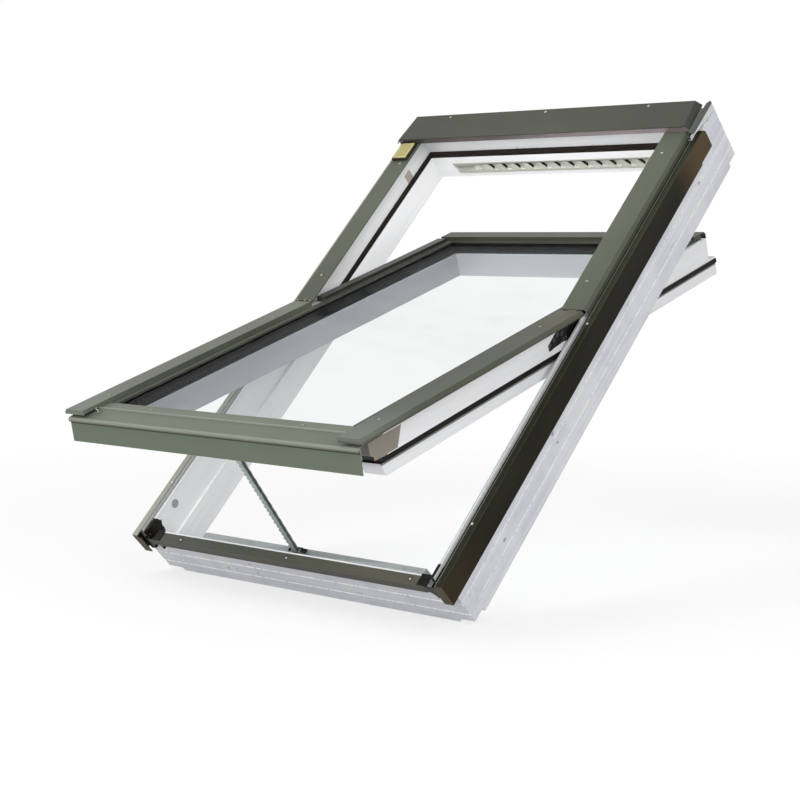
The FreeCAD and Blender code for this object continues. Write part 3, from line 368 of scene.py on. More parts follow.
# Dark marks on the outer faces: place, radius, stretch and strength
RIGHT_MARKS = [
    ((390, 369.9, 63.7), 4.0, (1, 0.8, 1), 0.75),
    ((390, 370.0, 41.1), 3.4, (1, 0.9, 1), 0.7),
    ((390, 149.9, 37.1), 4.0, (1, 0.7, 1), 0.65),
    ((390, 1038, 51), 4.5, (1, 0.8, 1), 0.55),
    ((390, 700, 58), 3.0, (1, 0.3, 1), 0.25),
    ((390, 880, 30), 3.6, (1, 0.3, 1), 0.2),
]
SILL_MARKS = [
    ((-196.4, 0, 31), 3.6, (0.7, 1, 1), 0.6),
    ((-172.7, 0, 33.1), 3.0, (0.6, 1, 1), 0.45),
    ((-116.2, 0, 32), 3.2, (0.7, 1, 1), 0.55),
    ((-119.1, 0, 56.7), 3.0, (0.5, 1, 1), 0.45),
    ((140, 0, 26), 3.4, (0.3, 1, 1), 0.22),
]
finish = {
    "left_jamb": timber("left_jamb_timber", WINDOW, "y", outer_of_frame, crest_line),
    "right_jamb": timber(
        "right_jamb_timber", WINDOW, "y", outer_of_frame, crest_line, RIGHT_MARKS
    ),
    "sill_rail": timber(
        "sill_timber",
        WINDOW,
        "x",
        outer_of_frame,
        groove_of("y", 0.0, "x", SILL_GROOVES, 0.9),
        SILL_MARKS,
    ),
    "head_rail": timber("head_timber", WINDOW, "x", outer_of_frame),
    "left_stile": timber(
        "left_stile_timber", SASH, "y", None, stile_line, (), stile_shade, STILE_WHITE
    ),
    "right_stile": timber(
        "right_stile_timber", SASH, "y", None, stile_line, (), stile_shade, STILE_WHITE
    ),
    "sash_bottom_rail": timber("sash_bottom_timber", SASH, "x", None, stile_line),
    # The top rail is toned greyer all over as painted shade
    "sash_top_rail": timber("sash_top_timber", SASH, "x", tone=TOP_RAIL_SHADE),
}

# Coated sheet

OLIVE = (0.066, 0.072, 0.053)
# Pale colour of the painted glints
GLINT_PALE = (0.62, 0.62, 0.58)


def coated(
    name, place, colour, grain="y", roughness=(0.34, 0.48), edge=1.4, glints=(), tint=None
):
    """Satin powder coat with orange peel and faint rub marks; its corners are scaled by edge,
    painted highlights where edge is above 1 and painted shade where it is below, and glints are
    painted as pale spots.
    """
    f = Finish(name, place, roughness[0], Specular_IOR_Level=0.25)
    cloud = f.noise(120.0, 3.0)
    rub = f.noise(14.0, 4.0, ALONG[grain])
    speck = f.noise(1.1, 2.0)
    tone = f.mix(f.ramp(cloud, 0.3, 0.7), scaled(colour, 0.93), scaled(colour, 1.07))
    tone = f.mix(f.math("MULTIPLY", f.ramp(rub, 0.55, 0.8), 0.35), tone, scaled(colour, 1.25))
    if tint:
        for mask, shade in tint(f):
            tone = f.mix(mask, tone, shade)
    # Painted highlight on the corners, painted shade where edge is below 1
    tone = f.mix(f.math("MULTIPLY", f.edges(0.9), 0.7), tone, scaled(colour, edge))
    # Painted glints at the given spots
    for point, radius, stretch in glints:
        tone = f.mix(f.near(point, radius, stretch), tone, GLINT_PALE)
    f.round_off(0.6)
    f.bump(speck, 0.02, 0.4)
    f.wear(rub, *roughness)
    return f.done(tone)


def front_light(f):
    """The covers' lower ends are paler."""
    return [(f.math("MULTIPLY", f.ramp(f.y, 130, -20), 0.6), (0.150, 0.165, 0.135))]


def right_sash_tint(f):
    """Painted light makes it paler at the lower end, with a faint bronze cast at the upper one."""
    bronze = f.math("MULTIPLY", f.ramp(f.y, 430, 600), 0.6)
    edge = f.math("MULTIPLY", f.ramp(f.z, 122.0, 119.0), 0.55)
    return front_light(f) + [
        (bronze, (0.085, 0.072, 0.045)),
        (edge, (0.050, 0.052, 0.036)),
    ]


def sill_tint(f):
    """The sill sheet turns browner to the right, and its front lip is darkened as painted shade."""
    # Painted shade on the front lip
    lip = f.ramp(f.z, 105.9, 104.9)
    return [
        (f.math("MULTIPLY", f.ramp(f.x, -100, 320), 0.75), (0.095, 0.088, 0.066)),
        (f.math("MULTIPLY", lip, 0.9), (0.028, 0.025, 0.015)),
    ]


def bead_lines(f):
    """Bead and drip of the bottom cover: painted highlights as a pale line on the step and on the
    bead, painted shade as a dark line under the bead, and a greener drip.
    """
    front = f.ramp(f.y, -30.0, -33.0)
    bead = f.math("MULTIPLY", f.band(f.z, 106.2, 110.5, 0.5), front)
    under = f.math("MULTIPLY", f.band(f.z, 99.4, 103.2, 0.5), front)
    drip = f.math("MULTIPLY", f.ramp(f.z, 100.0, 98.0), front)
    step = f.math("MULTIPLY", f.band(f.y, 2.2, 6.4, 0.4), f.ramp(f.z, 115.4, 116.2))
    # The step and bead lines are painted highlights, the line under the bead painted shade
    return [
        (f.math("MULTIPLY", drip, 0.75), (0.098, 0.122, 0.092)),
        (f.math("MULTIPLY", bead, 0.6), (0.26, 0.29, 0.25)),
        (f.math("MULTIPLY", step, 0.7), (0.30, 0.32, 0.28)),
        (f.math("MULTIPLY", under, 0.9), (0.012, 0.013, 0.010)),
    ]


def profile_lines(low, high):
    """Dark joints along a glazing profile."""

    def tint(f):
        across = f.math("ABSOLUTE", f.x)
        dark = f.most(
            f.band(across, low, low + 1.0, 0.4),
            f.band(across, (low + high) / 2, (low + high) / 2 + 0.8, 0.4),
            f.band(across, high - 0.8, high, 0.4),
        )
        return [(f.math("MULTIPLY", dark, 0.75), (0.012, 0.012, 0.01))]

    return tint


def brown_sheet(name, flange_reflection=False):
    """The jamb sheet: near black on its side, with painted warm reflections at both ends, for the
    left sheet a pale painted reflection on its flange's top, and painted highlights on its corners
    and lip.
    """
    side, warm, foot = (0.0135, 0.0125, 0.0075), (0.075, 0.050, 0.024), (0.032, 0.023, 0.011)
    # A pale flange top is a painted reflection
    flange = (0.33, 0.34, 0.29) if flange_reflection else (0.026, 0.028, 0.018)
    f = Finish(name, WINDOW, 0.3, Specular_IOR_Level=0.04)
    cloud = f.noise(60.0, 4.0, (1.0, 0.35, 1.0))
    rub = f.noise(10.0, 4.0, ALONG["y"])
    along = f.math("ADD", f.y, f.math("MULTIPLY", cloud, 90.0))
    tone = f.mix(f.ramp(cloud, 0.35, 0.7), scaled(side, 0.8), scaled(side, 1.25))
    tone = f.mix(f.ramp(along, 985, 1120), tone, warm)
    tone = f.mix(f.ramp(along, 190, 20), tone, foot)
    top = f.ramp(f.z, 118.4, 119.0)
    tone = f.mix(top, tone, f.mix(f.ramp(rub, 0.3, 0.7), scaled(flange, 0.92), flange))
    across = f.math("ABSOLUTE", f.x)
    closed_end = f.math("MULTIPLY", f.ramp(f.y, -15.2, -15.9), f.ramp(f.z, 119.3, 118.0))
    tone = f.mix(f.math("MULTIPLY", closed_end, 0.85), tone, (0.072, 0.060, 0.038))
    # Painted highlights on the corners, and along the lip below
    tone = f.mix(f.math("MULTIPLY", f.edges(0.8), 0.75), tone, (0.16, 0.15, 0.115))
    lip = f.math("MULTIPLY", f.band(across, 377.4, 378.6, 0.3), top)
    tone = f.mix(f.math("MULTIPLY", lip, 0.8), tone, (0.30, 0.31, 0.26))
    f.round_off(0.8)
    f.bump(f.noise(1.1, 2.0), 0.02, 0.4)
    f.wear(rub, 0.24, 0.36)
    return f.done(tone)


# Painted glints at the left cover's lower end: place, radius and stretch
LEFT_END_GLINTS = [
    ((-363, 610, 132.5), 2.6, (1, 1, 1)),
    ((-343, 610, 132.8), 2.4, (1, 1, 1)),
    ((-327.5, 610, 132.5), 2.2, (1, 1, 1)),
]
# The sheet pieces share one olive coat: each piece's factor on OLIVE is painted light and shade,
# lighter or darker as light falls on that piece
finish.update(
    {
        "head_cover": coated("hood_coat", WINDOW, scaled(OLIVE, 0.5), "x", edge=2.4),
        "left_upper_cover": coated(
            "left_upper_coat", WINDOW, scaled(OLIVE, 0.94), edge=2.0, glints=LEFT_END_GLINTS
        ),
        "right_upper_cover": coated("right_upper_coat", WINDOW, OLIVE, edge=2.2),
        "left_sash_cover": coated(
            "left_sash_coat", SASH, scaled(OLIVE, 1.35), edge=2.4, tint=front_light
        ),
        "right_sash_cover": coated(
            "right_sash_coat", SASH, scaled(OLIVE, 0.85), edge=2.4, tint=right_sash_tint
        ),
        "sash_bottom_cover": coated(
            "bottom_coat", SASH, scaled(OLIVE, 1.75), "x", edge=1.8, tint=bead_lines
        ),
        "sill_cladding": coated("sill_coat", WINDOW, scaled(OLIVE, 0.95), "x", tint=sill_tint),
        "left_glazing_profile": coated(
            "left_profile_coat", SASH, scaled(OLIVE, 0.7), edge=3.0, tint=profile_lines(297, 311)
        ),
        "right_glazing_profile": coated(
            "right_profile_coat", SASH, scaled(OLIVE, 0.7), edge=3.0, tint=profile_lines(297, 311)
        ),
        "top_glazing_profile": coated("top_profile_coat", SASH, scaled(OLIVE, 0.6), "x", edge=2.6),
        "left_jamb_cladding": brown_sheet("left_jamb_coat", True),
        "right_jamb_cladding": brown_sheet("right_jamb_coat"),
    }
)

# Rubber, plastic, metal and glass


def rubber(name, place, colour=(0.010, 0.0095, 0.009)):
    """Dusty rubber with fine ribs along it."""
    f = Finish(name, place, 0.6, Specular_IOR_Level=0.12)
    dust = f.noise(22.0, 5.0)
    ribs = f.node(
        "ShaderNodeTexWave", {"bands_direction": "Z"}, Vector=f.spot, Scale=0.5, Distortion=0.6
    ).outputs[0]
    tone = f.mix(f.math("MULTIPLY", f.ramp(dust, 0.5, 0.8), 0.35), colour, (0.045, 0.042, 0.038))
    f.round_off(0.5)
    f.bump(f.mix(0.5, f.noise(0.8, 2.0), ribs), 0.12, 0.4)
    f.wear(dust, 0.5, 0.75)
    return f.done(tone)


def plastic(name, place, colour, wear_and_highlight_colour, roughness=(0.22, 0.42), gloss=0.14):
    """Moulded plastic with a fine texture, scuffs, and corners lightened as painted highlights."""
    f = Finish(name, place, roughness[0], Specular_IOR_Level=gloss)
    cloud = f.noise(30.0, 4.0)
    scuff = f.noise(5.0, 5.0, (1.0, 0.25, 1.0))
    tone = f.mix(f.ramp(cloud, 0.3, 0.7), scaled(colour, 0.85), scaled(colour, 1.2))
    tone = f.mix(f.math("MULTIPLY", f.ramp(scuff, 0.6, 0.85), 0.3), tone, wear_and_highlight_colour)
    # Painted highlight on the corners
    tone = f.mix(f.math("MULTIPLY", f.edges(0.7), 0.6), tone, wear_and_highlight_colour)
    f.round_off(0.9)
    f.bump(f.noise(0.6, 2.0), 0.02, 0.5)
    f.wear(cloud, *roughness)
    return f.done(tone)


def carrier_zinc():
    """Galvanised sheet with its spangle, painted shade inside the hood, and dark at its upper
    corner.
    """
    colour = (0.62, 0.64, 0.63)
    f = Finish("carrier_zinc", WINDOW, 0.28, Metallic=0.65)
    across = f.math("ABSOLUTE", f.x)
    flower = f.node("ShaderNodeTexVoronoi", Vector=f.spot, Scale=0.16, Randomness=1.0)
    patch = f.node("ShaderNodeSeparateColor", Color=flower.outputs["Color"]).outputs[0]
    dull = f.noise(40.0, 4.0)
    tone = f.mix(patch, scaled(colour, 0.82), scaled(colour, 1.08))
    tone = f.mix(f.math("MULTIPLY", f.ramp(dull, 0.55, 0.8), 0.4), tone, (0.36, 0.36, 0.34))
    # Painted shade inside the hood
    inner = f.math("MULTIPLY", f.ramp(f.y, 1106, 1103), f.ramp(across, 378, 376))
    inside = f.mix(f.ramp(f.x, -330, 300), (0.10, 0.09, 0.085), (0.30, 0.25, 0.26))
    tone = f.mix(inner, tone, inside)
    upper = f.math("MULTIPLY", f.ramp(across, 381, 383), f.ramp(f.z, 133.5, 135.0))
    tone = f.mix(f.math("MULTIPLY", upper, 0.9), tone, (0.03, 0.034, 0.03))
    f.round_off(0.4)
    f.bump(f.noise(2.0, 3.0), 0.03, 0.4)
    f.wear(patch, 0.28, 0.5)
    return f.done(tone)


def steel(name, place, colour, metal, roughness, grain="y"):
    """Bare or plated steel with fine brushing and corners lightened as painted highlights."""
    f = Finish(name, place, roughness[0], Metallic=metal)
    brush = f.noise(0.5, 4.0, ALONG[grain])
    stain = f.noise(12.0, 4.0)
    tone = f.mix(f.ramp(brush, 0.3, 0.7), scaled(colour, 0.85), scaled(colour, 1.1))
    tone = f.mix(f.math("MULTIPLY", f.ramp(stain, 0.5, 0.8), 0.35), tone, scaled(colour, 0.6))
    # Painted highlight on the corners
    tone = f.mix(f.math("MULTIPLY", f.edges(0.4), 0.5), tone, scaled(colour, 1.4))
    f.round_off(0.3)
    f.bump(brush, 0.02, 0.4)
    f.wear(stain, *roughness)
    return f.done(tone)


def spacer_seal():
    """Dark edge seal of the glass unit, with the fine holes of its spacer bar."""
    f = Finish("edge_seal", SASH, 0.5, Specular_IOR_Level=0.1)
    cells = f.vector("MULTIPLY", f.spot, (0.45, 0.45, 0.45))
    holes = f.node("ShaderNodeTexVoronoi", Vector=cells, Scale=1.0, Randomness=0.0)
    dots = f.ramp(holes.outputs["Distance"], 0.22, 0.16)
    cloud = f.noise(35.0, 3.0)
    tone = f.mix(f.ramp(cloud, 0.3, 0.7), (0.010, 0.010, 0.011), (0.016, 0.016, 0.017))
    tone = f.mix(f.math("MULTIPLY", dots, 0.6), tone, (0.006, 0.006, 0.006))
    f.bump(dots, -0.1, 0.4)
    f.wear(cloud, 0.42, 0.6)
    return f.done(tone)


GLASS_TINT = (0.955, 0.965, 0.965)


def clear_glass():
    """Clear pane with patches of faint dust, that lets the lamps' light through."""
    f = Finish(
        "clear_glass",
        SASH,
        0.0,
        Transmission_Weight=1.0,
        IOR=1.012,
        Coat_Weight=0.05,
        Coat_Roughness=0.03,
    )
    dust = f.ramp(f.noise(90.0, 5.0), 0.45, 0.8)
    f.wear(dust, 0.0, 0.03)
    tone = f.mix(dust, GLASS_TINT, scaled(GLASS_TINT, 0.985))
    f.done(tone)
    light = f.node("ShaderNodeLightPath")
    clear = f.node("ShaderNodeBsdfTransparent", Color=(0.93, 0.94, 0.94))
    both = f.node("ShaderNodeMixShader")
    f.tree.links.new(light.outputs["Is Shadow Ray"], both.inputs[0])
    f.tree.links.new(f.shader.outputs[0], both.inputs[1])
    f.tree.links.new(clear.outputs[0], both.inputs[2])
    f.tree.links.new(both.outputs[0], f.tree.nodes["Material Output"].inputs["Surface"])
    return f.material


def sensor_plate():
    """Khaki plate with a fine weave of conductor tracks."""
    f = Finish("sensor_plate", WINDOW, 0.35)
    tracks, cross = (
        f.node("ShaderNodeTexWave", {"bands_direction": way}, Vector=f.spot, Scale=0.28).outputs[0]
        for way in ("Y", "X")
    )
    weave = f.math("MULTIPLY", tracks, cross)
    tone = f.mix(f.noise(8.0, 4.0), (0.205, 0.185, 0.05), (0.28, 0.25, 0.08))
    tone = f.mix(f.math("MULTIPLY", weave, 0.35), tone, (0.47, 0.44, 0.20))
    f.round_off(0.5)
    f.bump(weave, 0.08, 0.5)
    f.wear(weave, 0.25, 0.45)
    return f.done(tone)


def vent_paint():
    """Grey painted strip whose corners, the punched edges too, are lightened as painted highlights.
    """
    f = Finish("vent_paint", WINDOW, 0.4)
    rub = f.noise(9.0, 4.0, ALONG["x"])
    tone = f.mix(f.ramp(rub, 0.3, 0.7), (0.36, 0.37, 0.32), (0.45, 0.45, 0.40))
    # Painted highlight on the corners
    tone = f.mix(f.math("MULTIPLY", f.edges(0.6), 0.5), tone, (0.62, 0.62, 0.57))
    f.bump(f.noise(0.9, 2.0), 0.02, 0.4)
    f.wear(rub, 0.34, 0.5)
    return f.done(tone)


rubber_frame = rubber("frame_rubber", WINDOW, (0.014, 0.011, 0.009))
rubber_sash = rubber("sash_rubber", SASH)
cap_plastic = plastic(
    "cap_plastic", WINDOW, (0.0055, 0.005, 0.004), (0.06, 0.038, 0.03), (0.14, 0.3)
)
carrier_plastic = plastic("carrier_plastic", WINDOW, (0.010, 0.010, 0.009), (0.05, 0.05, 0.045))
hinge_coat = plastic(
    "hinge_coat", SASH, (0.010, 0.010, 0.010), (0.13, 0.13, 0.13), (0.10, 0.26), 0.5
)
plate_metal = coated("corner_plate_metal", SASH, (0.22, 0.195, 0.165), edge=1.7)
bright_steel = steel("bright_steel", WINDOW, (0.72, 0.72, 0.71), 0.6, (0.25, 0.4))
chain_metal = steel("chain_metal", WINDOW, (0.36, 0.40, 0.385), 0.45, (0.3, 0.5), "z")
# The chain's cores are a darker copy of its steel, painted shade between the plates
chain_core_shade = steel("chain_core_shaded_metal", WINDOW, (0.085, 0.095, 0.09), 0.4, (0.35, 0.55), "z")
glass = clear_glass()
sensor_gold = sensor_plate()
finish.update(
    {
        "frame_gasket": rubber_frame,
        "left_edge_seal": rubber_frame,
        "right_edge_seal": rubber_frame,
        "sash_gasket": rubber_sash,
        "left_corner_cap": cap_plastic,
        "right_corner_cap": cap_plastic,
        "left_cover_carrier": carrier_plastic,
        "right_cover_carrier": carrier_plastic,
        "left_corner_plate": plate_metal,
        "right_corner_plate": plate_metal,
        "glazing_spacer": spacer_seal(),
        "outer_pane": glass,
        "inner_pane": glass,
        "head_cover_carrier": carrier_zinc(),
        "rain_sensor": sensor_gold,
        "vent_strip": vent_paint(),
        "latch_plate": coated("latch_paint", WINDOW, (0.44, 0.40, 0.345), edge=0.45),
        "chain_drive_housing": steel(
            "housing_metal", WINDOW, (0.40, 0.425, 0.425), 0.35, (0.3, 0.45), "x"
        ),
        "chain_bracket": hinge_coat,
        "left_hinge_fixed": hinge_coat,
        "right_hinge_fixed": hinge_coat,
        "left_hinge_moving": hinge_coat,
        "right_hinge_moving": hinge_coat,
        "push_chain": chain_metal,
    }
)
for row in frame["record"]["subparts"]:
    solid = frame["nodes"][row["node"]]
    solid.data.materials.clear()
    solid.data.materials.append(finish[row["node"]])


# What small pieces are drawn with


class Piece:
    """A mesh drawn in millimetres in one body's axes."""

    def __init__(self):
        self.mesh = bmesh.new()

    def skin(self, rings):
        count = len(rings[0])
        for near, far in zip(rings, rings[1:]):
            for i in range(count):
                j = (i + 1) % count
                self.mesh.faces.new((near[i], near[j], far[j], far[i]))
        self.mesh.faces.new(rings[0])
        self.mesh.faces.new(rings[-1])

    def lathe(self, origin, axis, profile, steps=16):
        """Rings of (radius, height), with a third entry where the ring is a cross."""
        axis = Vector(axis).normalized()
        side = axis.orthogonal().normalized()
        other = axis.cross(side)
        rings = []
        for radius, height, *cross in profile:
            ring = []
            for i in range(steps):
                turn = 2 * math.pi * i / steps
                reach = radius * (1 + 0.45 * math.cos(4 * turn) if cross else 1)
                arm = (side * math.cos(turn) + other * math.sin(turn)) * reach
                ring.append(self.mesh.verts.new(Vector(origin) + axis * height + arm))
            rings.append(ring)
        self.skin(rings)

    def prism(self, origin, across, up, outline, start, end, soften=0.0):
        """An outline in the across and up directions, drawn out along their normal."""
        across, up = Vector(across).normalized(), Vector(up).normalized()
        along = across.cross(up)
        rings = []
        for reach in (start, end):
            ring = []
            for a, b in outline:
                spot = Vector(origin) + across * a + up * b + along * reach
                ring.append(self.mesh.verts.new(spot))
            rings.append(ring)
        self.skin(rings)
        if soften:
            edges = {e for ring in rings for v in ring for e in v.link_edges}
            bmesh.ops.bevel(
                self.mesh, geom=list(edges), offset=soften, segments=2, affect="EDGES"
            )

    def block(self, low, high, soften=0.4):
        width, length, height = (b - a for a, b in zip(low, high))
        outline = [(0, 0), (width, 0), (width, length), (0, length)]
        self.prism(low, X, Y, outline, 0, height, soften)

    def wire(self, points, radius, steps=8):
        path = [Vector(p) for p in points]
        side, rings = None, []
        for i, spot in enumerate(path):
            ahead = (path[min(i + 1, len(path) - 1)] - path[max(i - 1, 0)]).normalized()
            side = ahead.orthogonal() if side is None else side - ahead * side.dot(ahead)
            side.normalize()
            other = ahead.cross(side)
            turns = [2 * math.pi * k / steps for k in range(steps)]
            rings.append(
                [
                    self.mesh.verts.new(
                        spot + (side * math.cos(t) + other * math.sin(t)) * radius
                    )
                    for t in turns
                ]
            )
        self.skin(rings)

    def make(self, name, body, place, material, record_slot, smooth=35.0):
        bmesh.ops.recalc_face_normals(self.mesh, faces=self.mesh.faces)
        self.mesh.transform(place)
        data = bpy.data.meshes.new(name)
        self.mesh.to_mesh(data)
        self.mesh.free()
        data.polygons.foreach_set("use_smooth", [True] * len(data.polygons))
        data.set_sharp_from_angle(angle=math.radians(smooth))
        data.materials.append(material)
        piece = bpy.data.objects.new(name, data)
        bpy.context.scene.collection.objects.link(piece)
        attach(piece, body)
        return piece


def screw_head(piece, spot, axis, radius, height):
    """Domed head with a cross recess."""
    piece.lathe(
        spot,
        axis,
        [
            (radius, -0.2),
            (radius, height * 0.35),
            (radius * 0.86, height * 0.75),
            (radius * 0.6, height),
            (radius * 0.36, height * 1.02, True),
            (radius * 0.3, height * 0.3, True),
        ],
        24,
    )


def washer(piece, spot, axis, radius, height):
    """Flat ring that slopes in from its rim."""
    piece.lathe(
        spot,
        axis,
        [(radius, -0.2), (radius, height * 0.6), (radius * 0.88, height), (radius * 0.2, height)],
        28,
    )


def carved(name, piece, cutter, material, record_slot):
    """A frame piece with the cutter's forms taken out of it."""
    kept = piece.make(name, "frame", WINDOW, material, record_slot)
    knife = cutter.make(name + "_knife", "frame", WINDOW, material, record_slot)
    cut = kept.modifiers.new("cut", "BOOLEAN")
    cut.operation, cut.solver, cut.object = "DIFFERENCE", "EXACT", knife
    found = kept.evaluated_get(bpy.context.evaluated_depsgraph_get())
    data = bpy.data.meshes.new_from_object(found)
    kept.modifiers.clear()
    kept.data = data
    bpy.data.objects.remove(knife)
    return kept


# Screws, plug and clip

SILL_TOP = 106.4
UPPER_TOP = 134.0
HOOD_TOP = 150.0
FLANGE_TOP = 119.6
HEAD_FACE = 1147.0
SASH_TOP = 126.0
BOTTOM_TOP = 118.0
CREST_INNER = 359.5
# Painted shade of the screws' recesses
recess_shade = coated("recess_shade", WINDOW, (0.016, 0.016, 0.012), edge=3.0)
# Painted highlight: the screw heads are much lighter than the covers' olive
screw_highlight = coated("screw_highlight", WINDOW, (0.26, 0.27, 0.24), edge=2.4)


def frame_screws():
    """Bright screws of the sill sheet, the jamb sheets and the head rail, the sill's in dark rings
    painted as the shade of their recesses.
    """
    bright, recess = Piece(), Piece()
    for x in (-272.1, 11.7, 307.4):
        screw_head(bright, (x + 0.6, -2.2, SILL_TOP + 0.3), Z, 2.2, 1.3)
        washer(recess, (x, -1.2, SILL_TOP), Z, 4.4, 0.35)
    for y in (118.3, 589.0):
        for x in (381.0, -381.0):
            screw_head(bright, (x, y, FLANGE_TOP), Z, 2.6, 1.0)
    for x, z in ((-109.1, 68.1), (89.8, 66.7)):
        screw_head(bright, (x, HEAD_FACE, z), -Y, 3.2, 1.0)
    screw_head(bright, (197.8, HEAD_FACE, 83.7), -Y, 1.8, 0.5)
    bright.make("frame_screws", "frame", WINDOW, bright_steel, "galvanised")
    recess.make("sill_screw_shade_rings", "frame", WINDOW, recess_shade, "olive_metal")


def painted_screws(name, ring_name, body, place, rows):
    """Painted screws of a body's covers, with heads lightened as painted highlights, each in a dark
    ring painted as the shade of its recess.
    """
    painted, rings = Piece(), Piece()
    for top, ring_radius, spots in rows:
        for x, y in spots:
            screw_head(painted, (x, y, top), Z, 3.0, 0.9)
            washer(rings, (x, y, top), Z, ring_radius, 0.2)
    painted.make(name, body, place, screw_highlight, "olive_metal")
    rings.make(ring_name, body, place, recess_shade, "olive_metal")


def jamb_plug():
    """Grey plug in the inner side of the left jamb's crest."""
    plug = Piece()
    spot = (-CREST_INNER, 81.8, 100.4)
    plug.lathe(spot, X, [(9, -0.3), (9, 0.3), (8.3, 0.6), (1.5, 0.7)], 36)
    plug_grey = plastic("plug_plastic", WINDOW, (0.36, 0.36, 0.37), (0.5, 0.5, 0.5))
    plug.make("jamb_plug", "frame", WINDOW, plug_grey, "fitting")


def cover_clip():
    """Bent wire clip at the left end of the bottom cover."""
    bends = [
        (-322, -1.6, 118.9),
        (-319, -3.6, 120.4),
        (-315, -6.8, 121.0),
        (-311, -9.6, 120.2),
        (-307, -9.8, 119.2),
        (-303.5, -11.6, 119.0),
        (-300, -14.6, 119.4),
        (-296.5, -17.5, 118.8),
    ]
    clip = Piece()
    clip.wire(bends, 0.85)
    clip.make("cover_clip", "sash", SASH, bright_steel, "galvanised")


frame_screws()
upper_spots = ((340.7, 1036.3), (340.0, 683.4), (-343.7, 684.6), (-337.9, 1032.3))
hood_spots = ((257.2, 1163.0), (0.0, 1163.0), (-260.1, 1163.0))
painted_screws(
    "cover_screws",
    "cover_screw_shade_rings",
    "frame",
    WINDOW,
    ((UPPER_TOP, 4.4, upper_spots), (HOOD_TOP, 4.2, hood_spots)),
)
sash_spots = ((-335, 44.9), (-334.3, 499.2), (340.9, 47.8), (339.2, 509))
bottom_spots = ((-186.4, 14.3), (196.3, 14.3))
painted_screws(
    "sash_cover_screws",
    "sash_screw_shade_rings",
    "sash",
    SASH,
    ((SASH_TOP, 4.4, sash_spots), (BOTTOM_TOP, 4.2, bottom_spots)),
)
jamb_plug()
cover_clip()

# Rain sensor

SENSOR_LOW, SENSOR_HIGH = (-367.0, 1042.0), (-324.0, 1094.0)
SENSOR_RIM = 2.6
SENSOR_TOP = 139.6
SENSOR_FACE = 141.2
DOT_STEP = 4.4
DOT_INSET = 2.4


def rounded(low, high, radius, steps=6):
    """Outline of a rectangle with round corners."""
    points = []
    corners = (
        (high[0] - radius, low[1] + radius, -90),
        (high[0] - radius, high[1] - radius, 0),
        (low[0] + radius, high[1] - radius, 90),
        (low[0] + radius, low[1] + radius, 180),
    )
    for x, y, start in corners:
        for i in range(steps + 1):
            turn = math.radians(start + 90 * i / steps)
            points.append((x + radius * math.cos(turn), y + radius * math.sin(turn)))
    return points


def rain_sensor():
    """Black body, khaki face and a border of small contacts on it."""
    body, face, dots = Piece(), Piece(), Piece()
    outline = rounded(SENSOR_LOW, SENSOR_HIGH, 3.0)
    body.prism((0, 0, 0), X, Y, outline, UPPER_TOP, SENSOR_TOP, 0.5)
    black = plastic("sensor_black", WINDOW, (0.018, 0.018, 0.014), (0.09, 0.085, 0.06))
    body = body.make("sensor_body", "frame", WINDOW, black, "sensor")
    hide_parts("rain_sensor")
    low = [a + SENSOR_RIM for a in SENSOR_LOW]
    high = [a - SENSOR_RIM for a in SENSOR_HIGH]
    outline = rounded(low, high, 2.0)
    face.prism((0, 0, 0), X, Y, outline, SENSOR_TOP - 0.2, SENSOR_FACE, 0.3)
    face.make("sensor_face", "frame", WINDOW, sensor_gold, "sensor")
    columns, rows = (int((b - a - 4) / DOT_STEP) for a, b in zip(low, high))
    across, up = (b - a - 2 * DOT_INSET for a, b in zip(low, high))
    for i in range(columns + 1):
        for j in range(rows + 1):
            if i in (0, columns) or j in (0, rows):
                x = low[0] + DOT_INSET + i * across / columns
                y = low[1] + DOT_INSET + j * up / rows
                dots.lathe((x, y, SENSOR_FACE), Z, [(0.95, -0.2), (0.9, 0.35), (0.3, 0.5)], 10)
    gold = steel("contact_metal", WINDOW, (0.80, 0.77, 0.52), 0.3, (0.25, 0.4))
    dots.make("sensor_contacts", "frame", WINDOW, gold, "sensor")


rain_sensor()

# Vent strip

VENT_FRONT, VENT_BACK = 1133.0, 1135.0
VENT_LOW, VENT_HIGH = 11.6, 38.9
VENT_HALF = 300
VENT_SLANT = 8
CUT_START, CUT_PITCH, CUTS = -206.0, 36.0, 14


